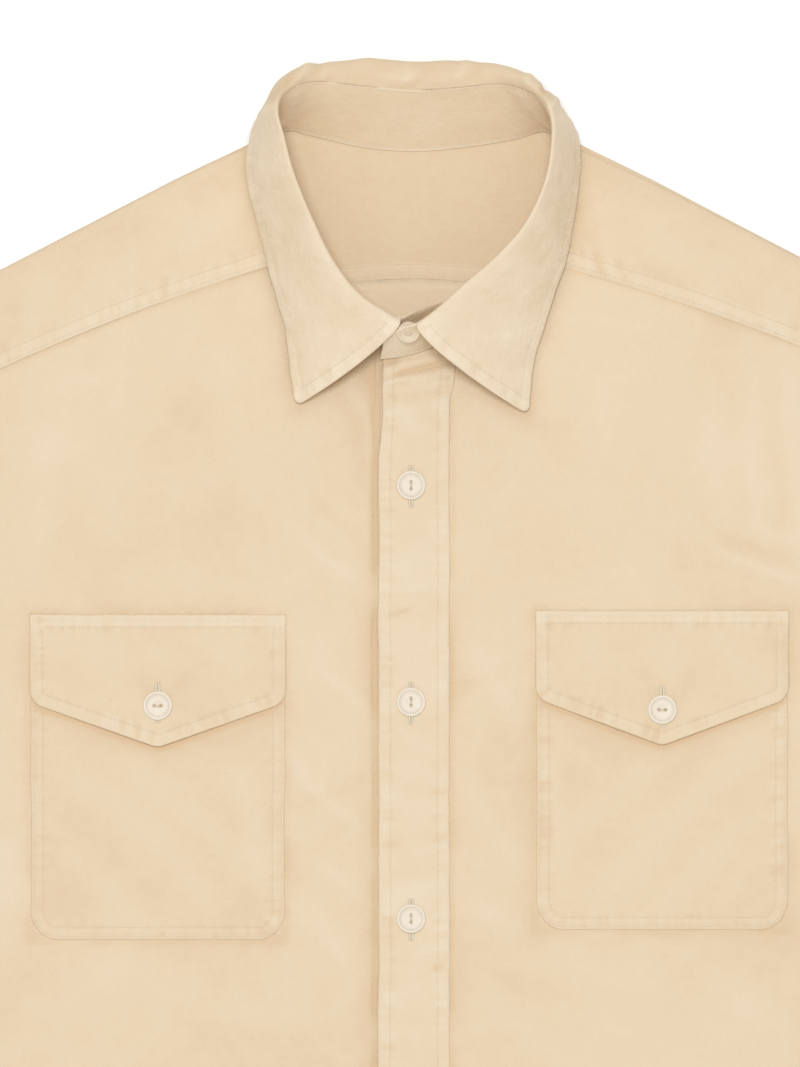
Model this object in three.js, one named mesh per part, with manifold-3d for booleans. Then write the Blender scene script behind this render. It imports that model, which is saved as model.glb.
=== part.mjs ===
// A long-sleeved button-front overshirt of thin cotton, buttoned up and laid flat on its back.
// Millimetres. +X runs to the wearer's left, +Y from the hem to the collar, +Z up out of the cloth.
// The underside of the back, the yoke and the sleeves lies on Z = 0. Each piece of cloth is a closed
// wall built on its middle surface; pieces that meet at a seam stay a small gap apart.
import * as THREE from "three";
import { mergeVertices } from "three/addons/utils/BufferGeometryUtils.js";
import Module from "manifold-3d";

const wasm = await Module();
wasm.setup();

// Cloth
const CLOTH = 1.2; // one layer of shirting with its turnings
const BAND = 1.5; // two layers and a stiffener: collar, flaps, cuffs, front band
const GAP = 0.3; // between pieces at a seam
const LAYER = CLOTH + GAP;

// Body outline, each side measured from the centre front
const HEM_Y = -403.3; // middle of the hem
const HEM_RISE = 46; // how far the shirt-tail hem climbs to the side seams
const HEM_HALF = 290; // half the width at the hem
const CHEST_HALF = 300; // half the width at the underarms
const UNDERARM_Y = 22;
const SHOULDER_Y0 = 401; // where the two shoulder lines would meet on the centre line
const SHOULDER_SLOPE = 0.516;
const SHOULDER_HALF = 258; // from the centre to the shoulder tip
const ARMHOLE_BOW = [
  { x: 243, y: 188 },
  { x: 256, y: 34 },
]; // handles of the armhole curve, from the tip down

// Yoke seams
const YOKE_BACK_Y = 293; // yoke seam at the centre back
const YOKE_BACK_DROP = 82; // how far it falls to the armholes
const YOKE_NECK_X = 48; // where the front yoke seams leave the neckline
const YOKE_NECK_Y = 306;
const YOKE_BEND = 0.00055;
const YOKE_SLOPE = { right: 0.2825, left: 0.242 }; // wearer's right and left
const YOKE_LAP = 8; // each front runs on this far under the yoke
const YOKE_PART = 0.35; // between the yoke's back and the stretches that come over the shoulders

// Fronts and band
const BAND_LEFT = -17; // free edge of the buttonhole band
const BAND_RIGHT = 19; // its stitched edge
const UNDERLAP = 15.5; // the wearer's right front reaches this far under the band
const SIDE_FALL = 60; // the fronts sink to the back within this distance of the side seams
const BODY_LOFT = 1.5; // rise of the fronts over the back, away from the seams
const NECK_LIFT = { x: 3, y: 258, height: 3, spread: 38 }; // the collar holds the neckline up

// Largest soft folds of the fronts: each is a ridge from one end to the other
const FOLDS = [
  { x0: -205, y0: 190, x1: -60, y1: 214, width: 30, height: 1.3 },
  { x0: -240, y0: 70, x1: -205, y1: -160, width: 26, height: 1.7 },
  { x0: -60, y0: 20, x1: -28, y1: 90, width: 17, height: 1.1 },
  { x0: -180, y0: -80, x1: -40, y1: -170, width: 32, height: 1.5 },
  { x0: 188, y0: 250, x1: 180, y1: 120, width: 13, height: 1.6 },
  { x0: 218, y0: 225, x1: 212, y1: 60, width: 15, height: 1.8 },
  { x0: 60, y0: -50, x1: 160, y1: -150, width: 30, height: 1.4 },
  { x0: 40, y0: 200, x1: 150, y1: 165, width: 30, height: 1.1 },
  { x0: 226, y0: 20, x1: 200, y1: -220, width: 28, height: 1.7 },
  { x0: -150, y0: -240, x1: -90, y1: -350, width: 30, height: 1.5 },
  { x0: 70, y0: -250, x1: 120, y1: -370, width: 32, height: 1.5 },
];

// Patch pockets with pointed flaps, by the wearer's side
const POCKETS = [
  { side: "right", x: -127, width: 127, top: 125, bottom: -37.5, tip: 58.5, buttonY: 79.5 },
  { side: "left", x: 125, width: 125.5, top: 127, bottom: -32.5, tip: 59.5, buttonY: 77.5 },
];
const FLAP_SIDE = 44; // depth of a flap at its sides
const FLAP_CORNER = 6;
const FLAP_OVERHANG = 0.6; // a flap is this much wider than its pocket, each side
const POCKET_MOUTH = 12; // the pocket starts this far below the flap's top edge
const POCKET_CORNER = 13;
const POCKET_PUFF = 0.9;
const FLAP_PUFF = 1.1;

// Buttons
const BUTTON = { radius: 7.25, height: 2.6, rim: 1.3, dish: 0.7, hole: 0.9, pitch: 3.6 };
const COLLAR_BUTTON = { ...BUTTON, radius: 5.75, height: 2.3 };
const BUTTON_X = -0.5;
const FIRST_BUTTON_Y = 189.5; // first button below the collar
const BUTTON_STEP = 108.2;
const BAND_BUTTONS = 5;

// Collar: one row for each section, from the end that lies underneath, round the back of the neck, to
// the end that lies on top. neck is the seam to the body, top the seam of stand and leaf, edge the free
// edge of the leaf; tuck is 0 where the leaf falls on the front and 1 where it is folded under the back.
// Rows with no edge are the overlapping ends of the stand.
const COLLAR = [
  { neckX: 16, neckY: 262, topX: 15, topY: 281, tuck: 0 },
  { neckX: 3.5, neckY: 259, topX: 3.5, topY: 277, tuck: 0 },
  { neckX: -9, neckY: 258.5, topX: -6.5, topY: 273, edgeX: -58, edgeY: 229, tuck: 0 },
  { neckX: -20, neckY: 266, topX: -14.5, topY: 276.5, edgeX: -61, edgeY: 246.5, tuck: 0 },
  { neckX: -33, neckY: 281, topX: -26, topY: 284, edgeX: -63, edgeY: 264.5, tuck: 0 },
  { neckX: -46, neckY: 300, topX: -38.5, topY: 299.5, edgeX: -67.5, edgeY: 284, tuck: 0 },
  { neckX: -55.5, neckY: 320, topX: -49, topY: 320, edgeX: -74, edgeY: 309.5, tuck: 0 },
  { neckX: -64.5, neckY: 345, topX: -59.5, topY: 346, edgeX: -81.5, edgeY: 341.5, tuck: 0 },
  { neckX: -68.5, neckY: 358.5, topX: -64, topY: 363, edgeX: -81.5, edgeY: 359, tuck: 0.05 },
  { neckX: -67.5, neckY: 365, topX: -67, topY: 375.5, edgeX: -76, edgeY: 374, tuck: 0.4 },
  { neckX: -62.5, neckY: 367, topX: -64.5, topY: 384, edgeX: -63, edgeY: 379, tuck: 0.75 },
  { neckX: -51, neckY: 364.5, topX: -53, topY: 391, edgeX: -48.5, edgeY: 376.5, tuck: 1 },
  { neckX: -25.5, neckY: 358.5, topX: -24, topY: 389.5, edgeX: -25, edgeY: 371, tuck: 1 },
  { neckX: -1, neckY: 356.5, topX: -1, topY: 387.5, edgeX: 0, edgeY: 369.5, tuck: 1 },
  { neckX: 23, neckY: 358, topX: 20, topY: 388.5, edgeX: 23, edgeY: 370.5, tuck: 1 },
  { neckX: 51.5, neckY: 362.5, topX: 48, topY: 390, edgeX: 46.5, edgeY: 375.5, tuck: 1 },
  { neckX: 66.5, neckY: 366.5, topX: 64.5, topY: 382, edgeX: 62, edgeY: 376, tuck: 0.75 },
  { neckX: 73, neckY: 363.5, topX: 69.5, topY: 371.5, edgeX: 79, edgeY: 370, tuck: 0.4 },
  { neckX: 75.5, neckY: 355, topX: 69.5, topY: 357.5, edgeX: 83.5, edgeY: 356, tuck: 0.05 },
  { neckX: 73, neckY: 341, topX: 66.5, topY: 341, edgeX: 83, edgeY: 341, tuck: 0 },
  { neckX: 64, neckY: 319.5, topX: 56.5, topY: 319.5, edgeX: 78, edgeY: 308.5, tuck: 0 },
  { neckX: 51, neckY: 300, topX: 42, topY: 303, edgeX: 72, edgeY: 287.5, tuck: 0 },
  { neckX: 36, neckY: 281.5, topX: 27, topY: 290, edgeX: 65.5, edgeY: 267.5, tuck: 0 },
  { neckX: 20, neckY: 264.5, topX: 13.5, topY: 278, edgeX: 60.5, edgeY: 247.5, tuck: 0 },
  { neckX: 6, neckY: 257, topX: 3, topY: 270.5, edgeX: 58, edgeY: 225, tuck: 0 },
  { neckX: -5, neckY: 254, topX: -5, topY: 268, tuck: 0 },
  { neckX: -14.5, neckY: 252.8, topX: -12.5, topY: 262.5, tuck: 0 },
];
const STAND_BACK = 33.5; // height of the stand at the back
const STAND_FRONT = 24.5; // and towards its ends
const STAND_ROUND = 5; // lost at the rounded ends
const COLLAR_ROLL = { front: 7, back: 19 }; // how far the leaf climbs past the stand before it turns
const COLLAR_TURN = 22; // how far back the rolled leaf reaches behind the stand
const COLLAR_TIGHT = 0.32; // share of both that is lost at the back corners
const POINT_BOW = { top: 9.5, low: 5 }; // the front edges of the leaf bow out towards the centre
const NECK_CLEAR = 1.6; // between the neckline of the body and the middle of the stand

// Sleeves
const SLEEVE_END = { outer: { x: 699, y: -51 }, inner: { x: 617.5, y: -148 } }; // the cuff seam
const SLEEVE_OUTER = [
  { x: 400, y: 193 },
  { x: 580, y: 59 },
]; // handles of the edge that runs on from the shoulder
const SLEEVE_INNER = [
  { x: 372, y: -32 },
  { x: 500, y: -72 },
]; // handles of the underarm edge
const SLEEVE_HEIGHT = 3.6; // over both layers at the edges
const SLEEVE_LOFT = 1.4;
const SLEEVE_FOLDS = [
  { x0: 310, y0: 60, x1: 420, y1: 20, width: 20, height: 1.2 },
  { x0: 330, y0: 130, x1: 470, y1: 70, width: 24, height: 1.1 },
  { x0: 300, y0: 210, x1: 400, y1: 150, width: 22, height: 1 },
  { x0: 430, y0: 90, x1: 500, y1: -20, width: 21, height: 1.1 },
  { x0: 520, y0: 20, x1: 580, y1: -70, width: 20, height: 1.1 },
  { x0: 585, y0: 0, x1: 655, y1: -88, width: 13, height: 1.2 },
  { x0: 560, y0: -40, x1: 634, y1: -122, width: 12, height: 1.1 },
];
const CUFF_DEPTH = 65;
const CUFF_START = 26; // where the under end of the cuff lies, from its middle
const CUFF_FINISH = 2; // where the upper end lies
const CUFF_BUTTON = 14;
const SLIT = { length: 128, width: 24, across: 0.36, point: 12 }; // strip that binds the sleeve slit

const mix = (a, b, t) => a + (b - a) * t;
const clamp01 = (t) => Math.min(1, Math.max(0, t));
const smooth = (from, to, value) => THREE.MathUtils.smoothstep(value, from, to);
const bell = (t) => Math.exp(-t * t);
const at = (x, y, z) => new THREE.Vector3(x, y, z);
const steps = (count, make) => Array.from({ length: count + 1 }, (_, i) => make(i / count, i));

// Cubic curve in the plane through a start, two handles and an end.
const curve = (start, [first, second], end) =>
  new THREE.CubicBezierCurve(
    new THREE.Vector2(start.x, start.y),
    new THREE.Vector2(first.x, first.y),
    new THREE.Vector2(second.x, second.y),
    new THREE.Vector2(end.x, end.y),
  );

// The value between 0 and 1 at which a falling function reaches zero.
function crossing(height) {
  let low = 0;
  let high = 1;
  for (let i = 0; i < 40; i++) {
    const middle = (low + high) / 2;
    if (height(middle) > 0) low = middle;
    else high = middle;
  }
  return low;
}

// Closed wall of even thickness round a grid of middle points. ring: the last column joins the first.
function wall(grid, thick, ring = false) {
  const rows = grid.length;
  const cols = grid[0].length;
  const wrap = (j) => (ring ? (j + cols) % cols : Math.min(cols - 1, Math.max(0, j)));
  const positions = [];
  for (const side of [0.5, -0.5])
    for (let i = 0; i < rows; i++)
      for (let j = 0; j < cols; j++) {
        const along = grid[Math.min(rows - 1, i + 1)][j].clone().sub(grid[Math.max(0, i - 1)][j]);
        const across = grid[i][wrap(j + 1)].clone().sub(grid[i][wrap(j - 1)]);
        const normal = along.cross(across).normalize();
        positions.push(...grid[i][j].clone().addScaledVector(normal, side * thick).toArray());
      }
  const index = [];
  const outer = (i, j) => i * cols + wrap(j);
  const inner = (i, j) => rows * cols + outer(i, j);
  const quad = (a, b, c, d) => index.push(a, b, c, a, c, d);
  const last = ring ? cols : cols - 1;
  for (let i = 0; i < rows - 1; i++)
    for (let j = 0; j < last; j++) {
      quad(outer(i, j), outer(i + 1, j), outer(i + 1, j + 1), outer(i, j + 1));
      quad(inner(i, j), inner(i, j + 1), inner(i + 1, j + 1), inner(i + 1, j));
    }
  for (let j = 0; j < last; j++) {
    quad(outer(0, j), outer(0, j + 1), inner(0, j + 1), inner(0, j));
    quad(outer(rows - 1, j), inner(rows - 1, j), inner(rows - 1, j + 1), outer(rows - 1, j + 1));
  }
  if (!ring)
    for (let i = 0; i < rows - 1; i++) {
      quad(outer(i, 0), inner(i, 0), inner(i + 1, 0), outer(i + 1, 0));
      quad(outer(i, cols - 1), outer(i + 1, cols - 1), inner(i + 1, cols - 1), inner(i, cols - 1));
    }
  const geometry = new THREE.BufferGeometry();
  geometry.setAttribute("position", new THREE.Float32BufferAttribute(positions, 3));
  geometry.setIndex(index);
  return geometry;
}

// Patch between four edge curves that share their corners.
const patch = (bottom, top, left, right) => (u, v) => {
  const b = bottom(u);
  const t = top(u);
  const l = left(v);
  const r = right(v);
  const [bl, br, tl, tr] = [bottom(0), bottom(1), top(0), top(1)];
  const blend = (key) =>
    mix(b[key], t[key], v) +
    mix(l[key], r[key], u) -
    mix(mix(bl[key], br[key], u), mix(tl[key], tr[key], u), v);
  return { x: blend("x"), y: blend("y") };
};

// Height of a set of soft ridges at a point.
const ridges = (table, x, y) =>
  table.reduce((sum, fold) => {
    const dx = fold.x1 - fold.x0;
    const dy = fold.y1 - fold.y0;
    const along = ((x - fold.x0) * dx + (y - fold.y0) * dy) / (dx * dx + dy * dy);
    const off = ((x - fold.x0) * dy - (y - fold.y0) * dx) / Math.hypot(dx, dy);
    const ends = smooth(-0.15, 0.3, along) * (1 - smooth(0.7, 1.15, along));
    return sum + fold.height * ends * bell(off / fold.width);
  }, 0);

// Outline of the body
const shoulderTip = { x: SHOULDER_HALF, y: SHOULDER_Y0 - SHOULDER_SLOPE * SHOULDER_HALF };
const underarm = { x: CHEST_HALF, y: UNDERARM_Y };
const armhole = curve(shoulderTip, ARMHOLE_BOW, underarm);
const hemY = (x) => HEM_Y + HEM_RISE * (Math.abs(x) / HEM_HALF) ** 3;
const sideX = (y) => mix(HEM_HALF, CHEST_HALF, clamp01((y - HEM_Y) / (UNDERARM_Y - HEM_Y)));
const frontSeamY = (x) => {
  const out = Math.abs(x) - YOKE_NECK_X;
  const slope = x < 0 ? YOKE_SLOPE.right : YOKE_SLOPE.left;
  return YOKE_NECK_Y - slope * out - YOKE_BEND * out * Math.abs(out);
};
const backSeamY = (x) => YOKE_BACK_Y - YOKE_BACK_DROP * (Math.abs(x) / SHOULDER_HALF) ** 1.8;

// The armhole is drawn with straight steps, so that every piece that meets it has its corners there.
const ARM_STEPS = 10;
const armPlaces = steps(ARM_STEPS, (t) => t);
const armCorners = armhole.getPoints(ARM_STEPS);
const armAt = (sign, t) => {
  const i = Math.min(ARM_STEPS - 1, Math.floor(clamp01(t) * ARM_STEPS));
  const p = armCorners[i].clone().lerp(armCorners[i + 1], clamp01(t) * ARM_STEPS - i);
  return { x: sign * p.x, y: p.y };
};

// Share of the armhole, from the tip, at which a seam meets it.
const meets = (seam, sign) =>
  crossing((t) => {
    const p = armAt(sign, t);
    return p.y - seam(p.x);
  });

// Side of a panel from the hem to its seam on the armhole; v runs from 0 to 1.
const UNDERARM_SHARE = 0.62;
const panelSide = (sign, share) => (v) => {
  if (v <= UNDERARM_SHARE) {
    const t = v / UNDERARM_SHARE;
    const low = hemY(HEM_HALF);
    return { x: sign * mix(HEM_HALF, CHEST_HALF, t), y: mix(low, UNDERARM_Y, t) };
  }
  return armAt(sign, mix(1, share, (v - UNDERARM_SHARE) / (1 - UNDERARM_SHARE)));
};

// Rows of a panel: even ones up to the underarm, then one at each corner of the armhole.
const panelRows = (low, share) => [
  ...steps(low, (t) => t * UNDERARM_SHARE),
  ...armPlaces
    .filter((t) => t < 0.99 && t > share + 0.02)
    .reverse()
    .map((t) => mix(UNDERARM_SHARE, 1, (1 - t) / (1 - share))),
  1,
];

// Height of the underside of the fronts over the floor. over: the wearer's left front, which laps over.
function frontUnder(x, y, over) {
  const side = smooth(0, SIDE_FALL, sideX(y) - Math.abs(x));
  const hem = smooth(0, SIDE_FALL, y - hemY(x));
  const shoulder = smooth(0, SIDE_FALL, SHOULDER_Y0 - SHOULDER_SLOPE * Math.abs(x) - y);
  const rim = side * mix(0.35, 1, hem) * shoulder;
  const lift = bell(Math.hypot(x - NECK_LIFT.x, y - NECK_LIFT.y) / NECK_LIFT.spread);
  const lap = over ? (LAYER + 0.15) * (1 - smooth(UNDERLAP + 16, UNDERLAP + 50, x)) : 0;
  const soft = BODY_LOFT + ridges(FOLDS, x, y);
  return LAYER + GAP + rim * soft + NECK_LIFT.height * lift + lap;
}
const onFront = (x, y, over, rise) => at(x, y, frontUnder(x, y, over) + rise);
const overAt = (x) => x > BAND_LEFT;

// Collar lines. Each is a smooth curve through its column, all with the same share per row.
const line = (rows, keyX, keyY) =>
  new THREE.CatmullRomCurve3(
    rows.map((row) => at(row[keyX], row[keyY], row.tuck)),
    false,
    "centripetal",
  );
const STAND_LAST = COLLAR.length - 1;
const neckLine = line(COLLAR, "neckX", "neckY");
const topLine = line(COLLAR, "topX", "topY");
const leafRows = COLLAR.filter((row) => row.edgeX !== undefined);
const LEAF_FIRST = COLLAR.indexOf(leafRows[0]);
const LEAF_SPAN = leafRows.length - 1;
const edgeLine = line(leafRows, "edgeX", "edgeY");

// Surface that the neck seam stands on: the fronts or the yoke in front, the floor layer behind.
function neckLevel(x, y, tuck, over) {
  const front = frontUnder(x, y, over) + CLOTH + (y > frontSeamY(x) ? LAYER : 0);
  const band = over && x < BAND_RIGHT + 3 ? BAND + GAP : 0;
  return mix(front + band + GAP, CLOTH, clamp01(tuck * 1.15));
}

// One section of the collar at a row number, which may fall between rows.
function collarSection(row) {
  const share = row / STAND_LAST;
  const neck = neckLine.getPoint(share);
  const top = topLine.getPoint(share);
  const tuck = clamp01(neck.z);
  const over = row > STAND_LAST / 2;
  neck.z = neckLevel(neck.x, neck.y, tuck, over);
  const ends = Math.abs(2 * share - 1) ** 3;
  const rounded = bell(row / 0.8) + bell((STAND_LAST - row) / 0.8);
  const height = mix(STAND_BACK, STAND_FRONT, ends) - STAND_ROUND * rounded;
  const reach = Math.hypot(top.x - neck.x, top.y - neck.y);
  top.z = neck.z + Math.sqrt(Math.max(0, height * height - reach * reach));
  return { neck, top, tuck };
}

// Height at which the free edge of the leaf comes to rest: on the shirt, or on the floor beyond it.
function restHeight(x, y, tuck) {
  const below = SHOULDER_Y0 - SHOULDER_SLOPE * Math.abs(x) - y;
  const cloth = frontUnder(x, y, x > 0) + LAYER + CLOTH + GAP + BAND / 2 + 0.5;
  const covered = smooth(-11, 1, below) * (1 - smooth(0.4, 0.75, tuck));
  return mix(BAND / 2 + 0.1, cloth, covered);
}

// Middle line of the leaf at a row number, from its seam to its free edge; t runs from 0 to 1.
function leafCurve(row) {
  const { neck, top, tuck } = collarSection(row);
  const near = 0.05;
  const ahead = topLine.getPoint(Math.min(1, (row + near) / STAND_LAST));
  const behind = topLine.getPoint(Math.max(0, (row - near) / STAND_LAST));
  const outward = at(-(ahead.y - behind.y), ahead.x - behind.x, 0).normalize();
  const edge = edgeLine.getPoint(clamp01((row - LEAF_FIRST) / LEAF_SPAN));
  edge.z = restHeight(edge.x, edge.y, tuck);
  const up = top.clone().sub(neck).normalize();
  const start = top.clone().addScaledVector(up, BAND / 2 + GAP);
  const loose = 1 - COLLAR_TIGHT * tuck * smooth(18, 52, Math.abs(top.x));
  const roll = mix(COLLAR_ROLL.front, COLLAR_ROLL.back, tuck) * loose;
  const rise = start.clone().addScaledVector(up, roll);
  const draped = edge.clone().lerp(start, 0.36);
  draped.z = mix(edge.z, start.z, 0.6);
  const folded = start.clone().addScaledVector(outward, COLLAR_TURN * loose);
  folded.z = edge.z;
  const fall = draped.lerp(folded, tuck);
  const fromEnd = Math.min(row - LEAF_FIRST, LEAF_FIRST + LEAF_SPAN - row);
  const side = Math.sign(start.x - edge.x);
  const bow = at((start.y - edge.y) * side, -Math.abs(start.x - edge.x), 0).normalize();
  rise.addScaledVector(bow, POINT_BOW.top * bell(fromEnd / 0.9));
  fall.addScaledVector(bow, POINT_BOW.low * bell(fromEnd / 0.9));
  return new THREE.CubicBezierCurve3(start, rise, fall, edge);
}

// Neckline of the body at a row number, kept clear of the stand.
function neckEdge(row) {
  const { neck, top } = collarSection(row);
  const away = at(neck.x - top.x, neck.y - top.y, 0).normalize();
  return { x: neck.x + away.x * NECK_CLEAR, y: neck.y + away.y * NECK_CLEAR };
}

// Row numbers of the places where the front yoke seams leave the neckline, and of the shoulder folds.
const COLLAR_ROWS = { rightFront: 0.1, rightSeam: 5.3, leftSeam: 20.8, leftFront: 25.6 };
const FOLD_ROWS = { right: [8.1, 8.5, 9, 9.5, 10], left: [18.2, 17.7, 17.2, 16.6, 16] };

// Corners of the back yoke seam, shared by the back and the yoke.
const SEAM_STEPS = 12;
const backEnd = meets(backSeamY, 1);
const backSeam = (u) => {
  const end = armAt(1, backEnd).x;
  const x = mix(-end, end, u);
  return { x, y: backSeamY(x) };
};

// Back panel, from the hem to the yoke seam, flat on the floor.
function backPanel() {
  const surface = patch(
    (u) => ({ x: mix(-HEM_HALF, HEM_HALF, u), y: hemY(mix(-HEM_HALF, HEM_HALF, u)) }),
    backSeam,
    panelSide(-1, backEnd),
    panelSide(1, backEnd),
  );
  const grid = panelRows(7, backEnd).map((v) =>
    steps(SEAM_STEPS, (u) => {
      const p = surface(u, v);
      return at(p.x, p.y - GAP * v, CLOTH / 2);
    }),
  );
  return wall(grid, CLOTH);
}

// Front panel of one side: sign is -1 for the wearer's right and 1 for the left.
function frontPanel(sign) {
  const over = sign > 0;
  const inner = over ? BAND_LEFT + 1 : UNDERLAP;
  const neckStart = over ? COLLAR_ROWS.leftFront : COLLAR_ROWS.rightFront;
  const neckEnd = over ? COLLAR_ROWS.leftSeam - 0.4 : COLLAR_ROWS.rightSeam + 0.4;
  const topY = (x) => frontSeamY(x) + YOKE_LAP;
  const seamShare = meets(topY, sign);
  const seamEnd = armAt(sign, seamShare);
  const corner = neckEdge(neckEnd);
  const neckShare = 0.3;
  const top = (u) => {
    if (u < neckShare) return neckEdge(mix(neckStart, neckEnd, u / neckShare));
    const t = (u - neckShare) / (1 - neckShare);
    const x = mix(corner.x, seamEnd.x, t);
    return { x, y: mix(corner.y, topY(x), smooth(0, 0.12, t)) };
  };
  const neckCorner = top(0);
  const hem = (u) => {
    const x = mix(inner, sign * HEM_HALF, u);
    return { x, y: hemY(x) };
  };
  const centre = (v) => ({
    x: mix(inner, neckCorner.x, smooth(0.8, 1, v)),
    y: mix(hemY(inner), neckCorner.y, v),
  });
  const surface = patch(hem, top, centre, panelSide(sign, seamShare));
  const grid = panelRows(13, seamShare).map((v) =>
    steps(14, (u) => {
      const p = surface(u, v);
      return onFront(p.x, p.y, over, CLOTH / 2);
    }),
  );
  return wall(grid, CLOTH);
}

// Yoke: one piece of cloth from the front seam of one shoulder, over the fold, across the back and
// round again. It is three solids, parted on the floor behind each fold, so that none of them bends
// round the neck.
function yoke() {
  // Front of one shoulder, from its seam to the fold.
  const shoulder = (sign, seamRow, foldRow) => {
    const share = meets(frontSeamY, sign);
    const places = [share, ...armPlaces.filter((t) => t > 0.02 && t < share - 0.02).reverse(), 0];
    return places.map((place, i) => {
      const done = i / (places.length - 1);
      const bow = 1 - done;
      return { neck: neckEdge(mix(seamRow, foldRow, done)), outer: armAt(sign, place), front: 1, bow };
    });
  };
  const fold = (sign, rows) =>
    [0.85, 0.5, 0.15, 0].map((front, i) => ({
      neck: neckEdge(rows[i]),
      outer: armAt(sign, 0),
      front,
      bow: 0,
    }));
  // Back, between the two folds.
  const downArm = (sign) =>
    armPlaces
      .filter((t) => t > 0.02 && t < backEnd - 0.02)
      .map((t) => armAt(sign, t));
  const outers = [...downArm(-1), ...steps(SEAM_STEPS, backSeam), ...downArm(1).reverse()];
  const behind = (sign, row) => {
    const neck = neckEdge(row);
    const outer = armAt(sign, 0);
    neck.y -= YOKE_PART;
    outer.y -= YOKE_PART;
    return { neck, outer, front: 0, bow: 0 };
  };
  const across = outers.map((outer, i) => ({
    neck: neckEdge(mix(FOLD_ROWS.right.at(-1), FOLD_ROWS.left.at(-1), (i + 1) / (outers.length + 1))),
    outer,
    front: 0,
    bow: 0,
  }));
  const right = [
    ...shoulder(-1, COLLAR_ROWS.rightSeam, FOLD_ROWS.right[0]),
    ...fold(-1, FOLD_ROWS.right.slice(1)),
  ];
  const back = [
    behind(-1, FOLD_ROWS.right.at(-1)),
    ...across,
    behind(1, FOLD_ROWS.left.at(-1)),
  ];
  const left = [
    ...fold(1, FOLD_ROWS.left.slice(1)).reverse(),
    ...shoulder(1, COLLAR_ROWS.leftSeam, FOLD_ROWS.left[0]).reverse(),
  ];
  const column = ({ neck, outer, front, bow }) =>
    steps(8, (t) => {
      const x = mix(neck.x, outer.x, t);
      const chord = mix(neck.y, outer.y, t);
      const seam = frontSeamY(x) - mix(frontSeamY(neck.x), frontSeamY(outer.x), t);
      const y = chord + bow * seam;
      const floor = CLOTH / 2;
      const upper = frontUnder(x, y, x > 0) + LAYER + CLOTH / 2;
      const turn = Math.sin(front * Math.PI) * ((upper - floor) / 2) * smooth(0, 0.3, t);
      const z = mix(floor, upper, front < 1 ? 0.5 - 0.5 * Math.cos(front * Math.PI) : 1);
      return at(x + Math.sign(x) * turn * 0.45, y + turn * 0.9, z);
    });
  const cloth = (columns) => wall(columns.map(column), CLOTH);
  return { right: cloth(right), back: cloth(back), left: cloth(left) };
}

// Buttonhole band down the centre front.
function frontBand() {
  const top = (x) => 251 + 0.0068 * (x - BAND_LEFT) ** 2;
  const grid = steps(28, (v) =>
    steps(3, (u) => {
      const x = mix(BAND_LEFT, BAND_RIGHT, u);
      const y = mix(hemY(x), top(x), v);
      return onFront(x, y, true, CLOTH + GAP + BAND / 2);
    }),
  );
  return wall(grid, BAND);
}

// Patch pocket, moved out from the points of the front that it lies on.
function pocket({ x: centre, width, top, bottom }) {
  const half = width / 2;
  const floorY = (off) => {
    const into = Math.max(0, Math.abs(off) - (half - POCKET_CORNER)) / POCKET_CORNER;
    return bottom + POCKET_CORNER * 1.2 * (1 - Math.sqrt(1 - Math.min(1, into * 0.995) ** 2));
  };
  const across = [-1, -0.97, -0.92, -0.84, -0.6, -0.3, 0, 0.3, 0.6, 0.84, 0.92, 0.97, 1];
  const grid = steps(8, (v) =>
    across.map((u) => {
      const x = centre + u * half;
      const y = mix(top - POCKET_MOUTH, floorY(u * half), v);
      const puff = POCKET_PUFF * (1 - u * u) * Math.sin(Math.PI * Math.min(1, v * 1.05 + 0.05));
      return onFront(x, y, overAt(x), CLOTH + GAP + CLOTH / 2 + Math.max(0, puff));
    }),
  );
  return wall(grid, CLOTH);
}

// Lower edge of a flap at a share of its half width: straight to the point, with rounded corners.
const flapEdgeY = ({ top, tip }, u) => {
  const slope = top - FLAP_SIDE - tip;
  const corner = smooth(0.9, 1, Math.abs(u)) * FLAP_CORNER;
  return tip + slope * Math.abs(u) + corner;
};
const flapHeight = (x, y, u, v, top) => {
  const step = (CLOTH + GAP) * smooth(1, POCKET_MOUTH - 3, top - y);
  const puff = FLAP_PUFF * (1 - u * u) * smooth(0, 0.5, v) + POCKET_PUFF * (1 - u * u) * smooth(0.1, 0.9, v);
  return frontUnder(x, y, overAt(x)) + CLOTH + GAP + step + puff + BAND / 2;
};
function flap(row) {
  const half = row.width / 2 + FLAP_OVERHANG;
  const across = [-1, -0.96, -0.9, -0.6, -0.3, -0.05, 0.05, 0.3, 0.6, 0.9, 0.96, 1];
  const grid = steps(6, (v) =>
    across.map((u) => {
      const x = row.x + u * half;
      const y = mix(row.top, flapEdgeY(row, u), v);
      return at(x, y, flapHeight(x, y, u, v, row.top) + 0.25 * smooth(0, 0.3, v));
    }),
  );
  return wall(grid, BAND);
}

// Collar stand: the band that stands on the neck seam.
function collarStand() {
  const count = 56;
  const grid = steps(count, (t) => {
    const { neck, top } = collarSection(t * STAND_LAST);
    return steps(3, (v) => neck.clone().lerp(top, v));
  });
  return wall(grid, BAND);
}

// Collar leaf: climbs from the stand, rolls over and falls to its pointed edge.
function collarLeaf() {
  const count = 54;
  const grid = steps(count, (t) => {
    const row = LEAF_FIRST + t * LEAF_SPAN;
    const section = leafCurve(row);
    return steps(8, (v) => section.getPoint(v));
  });
  return wall(grid, BAND);
}

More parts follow.
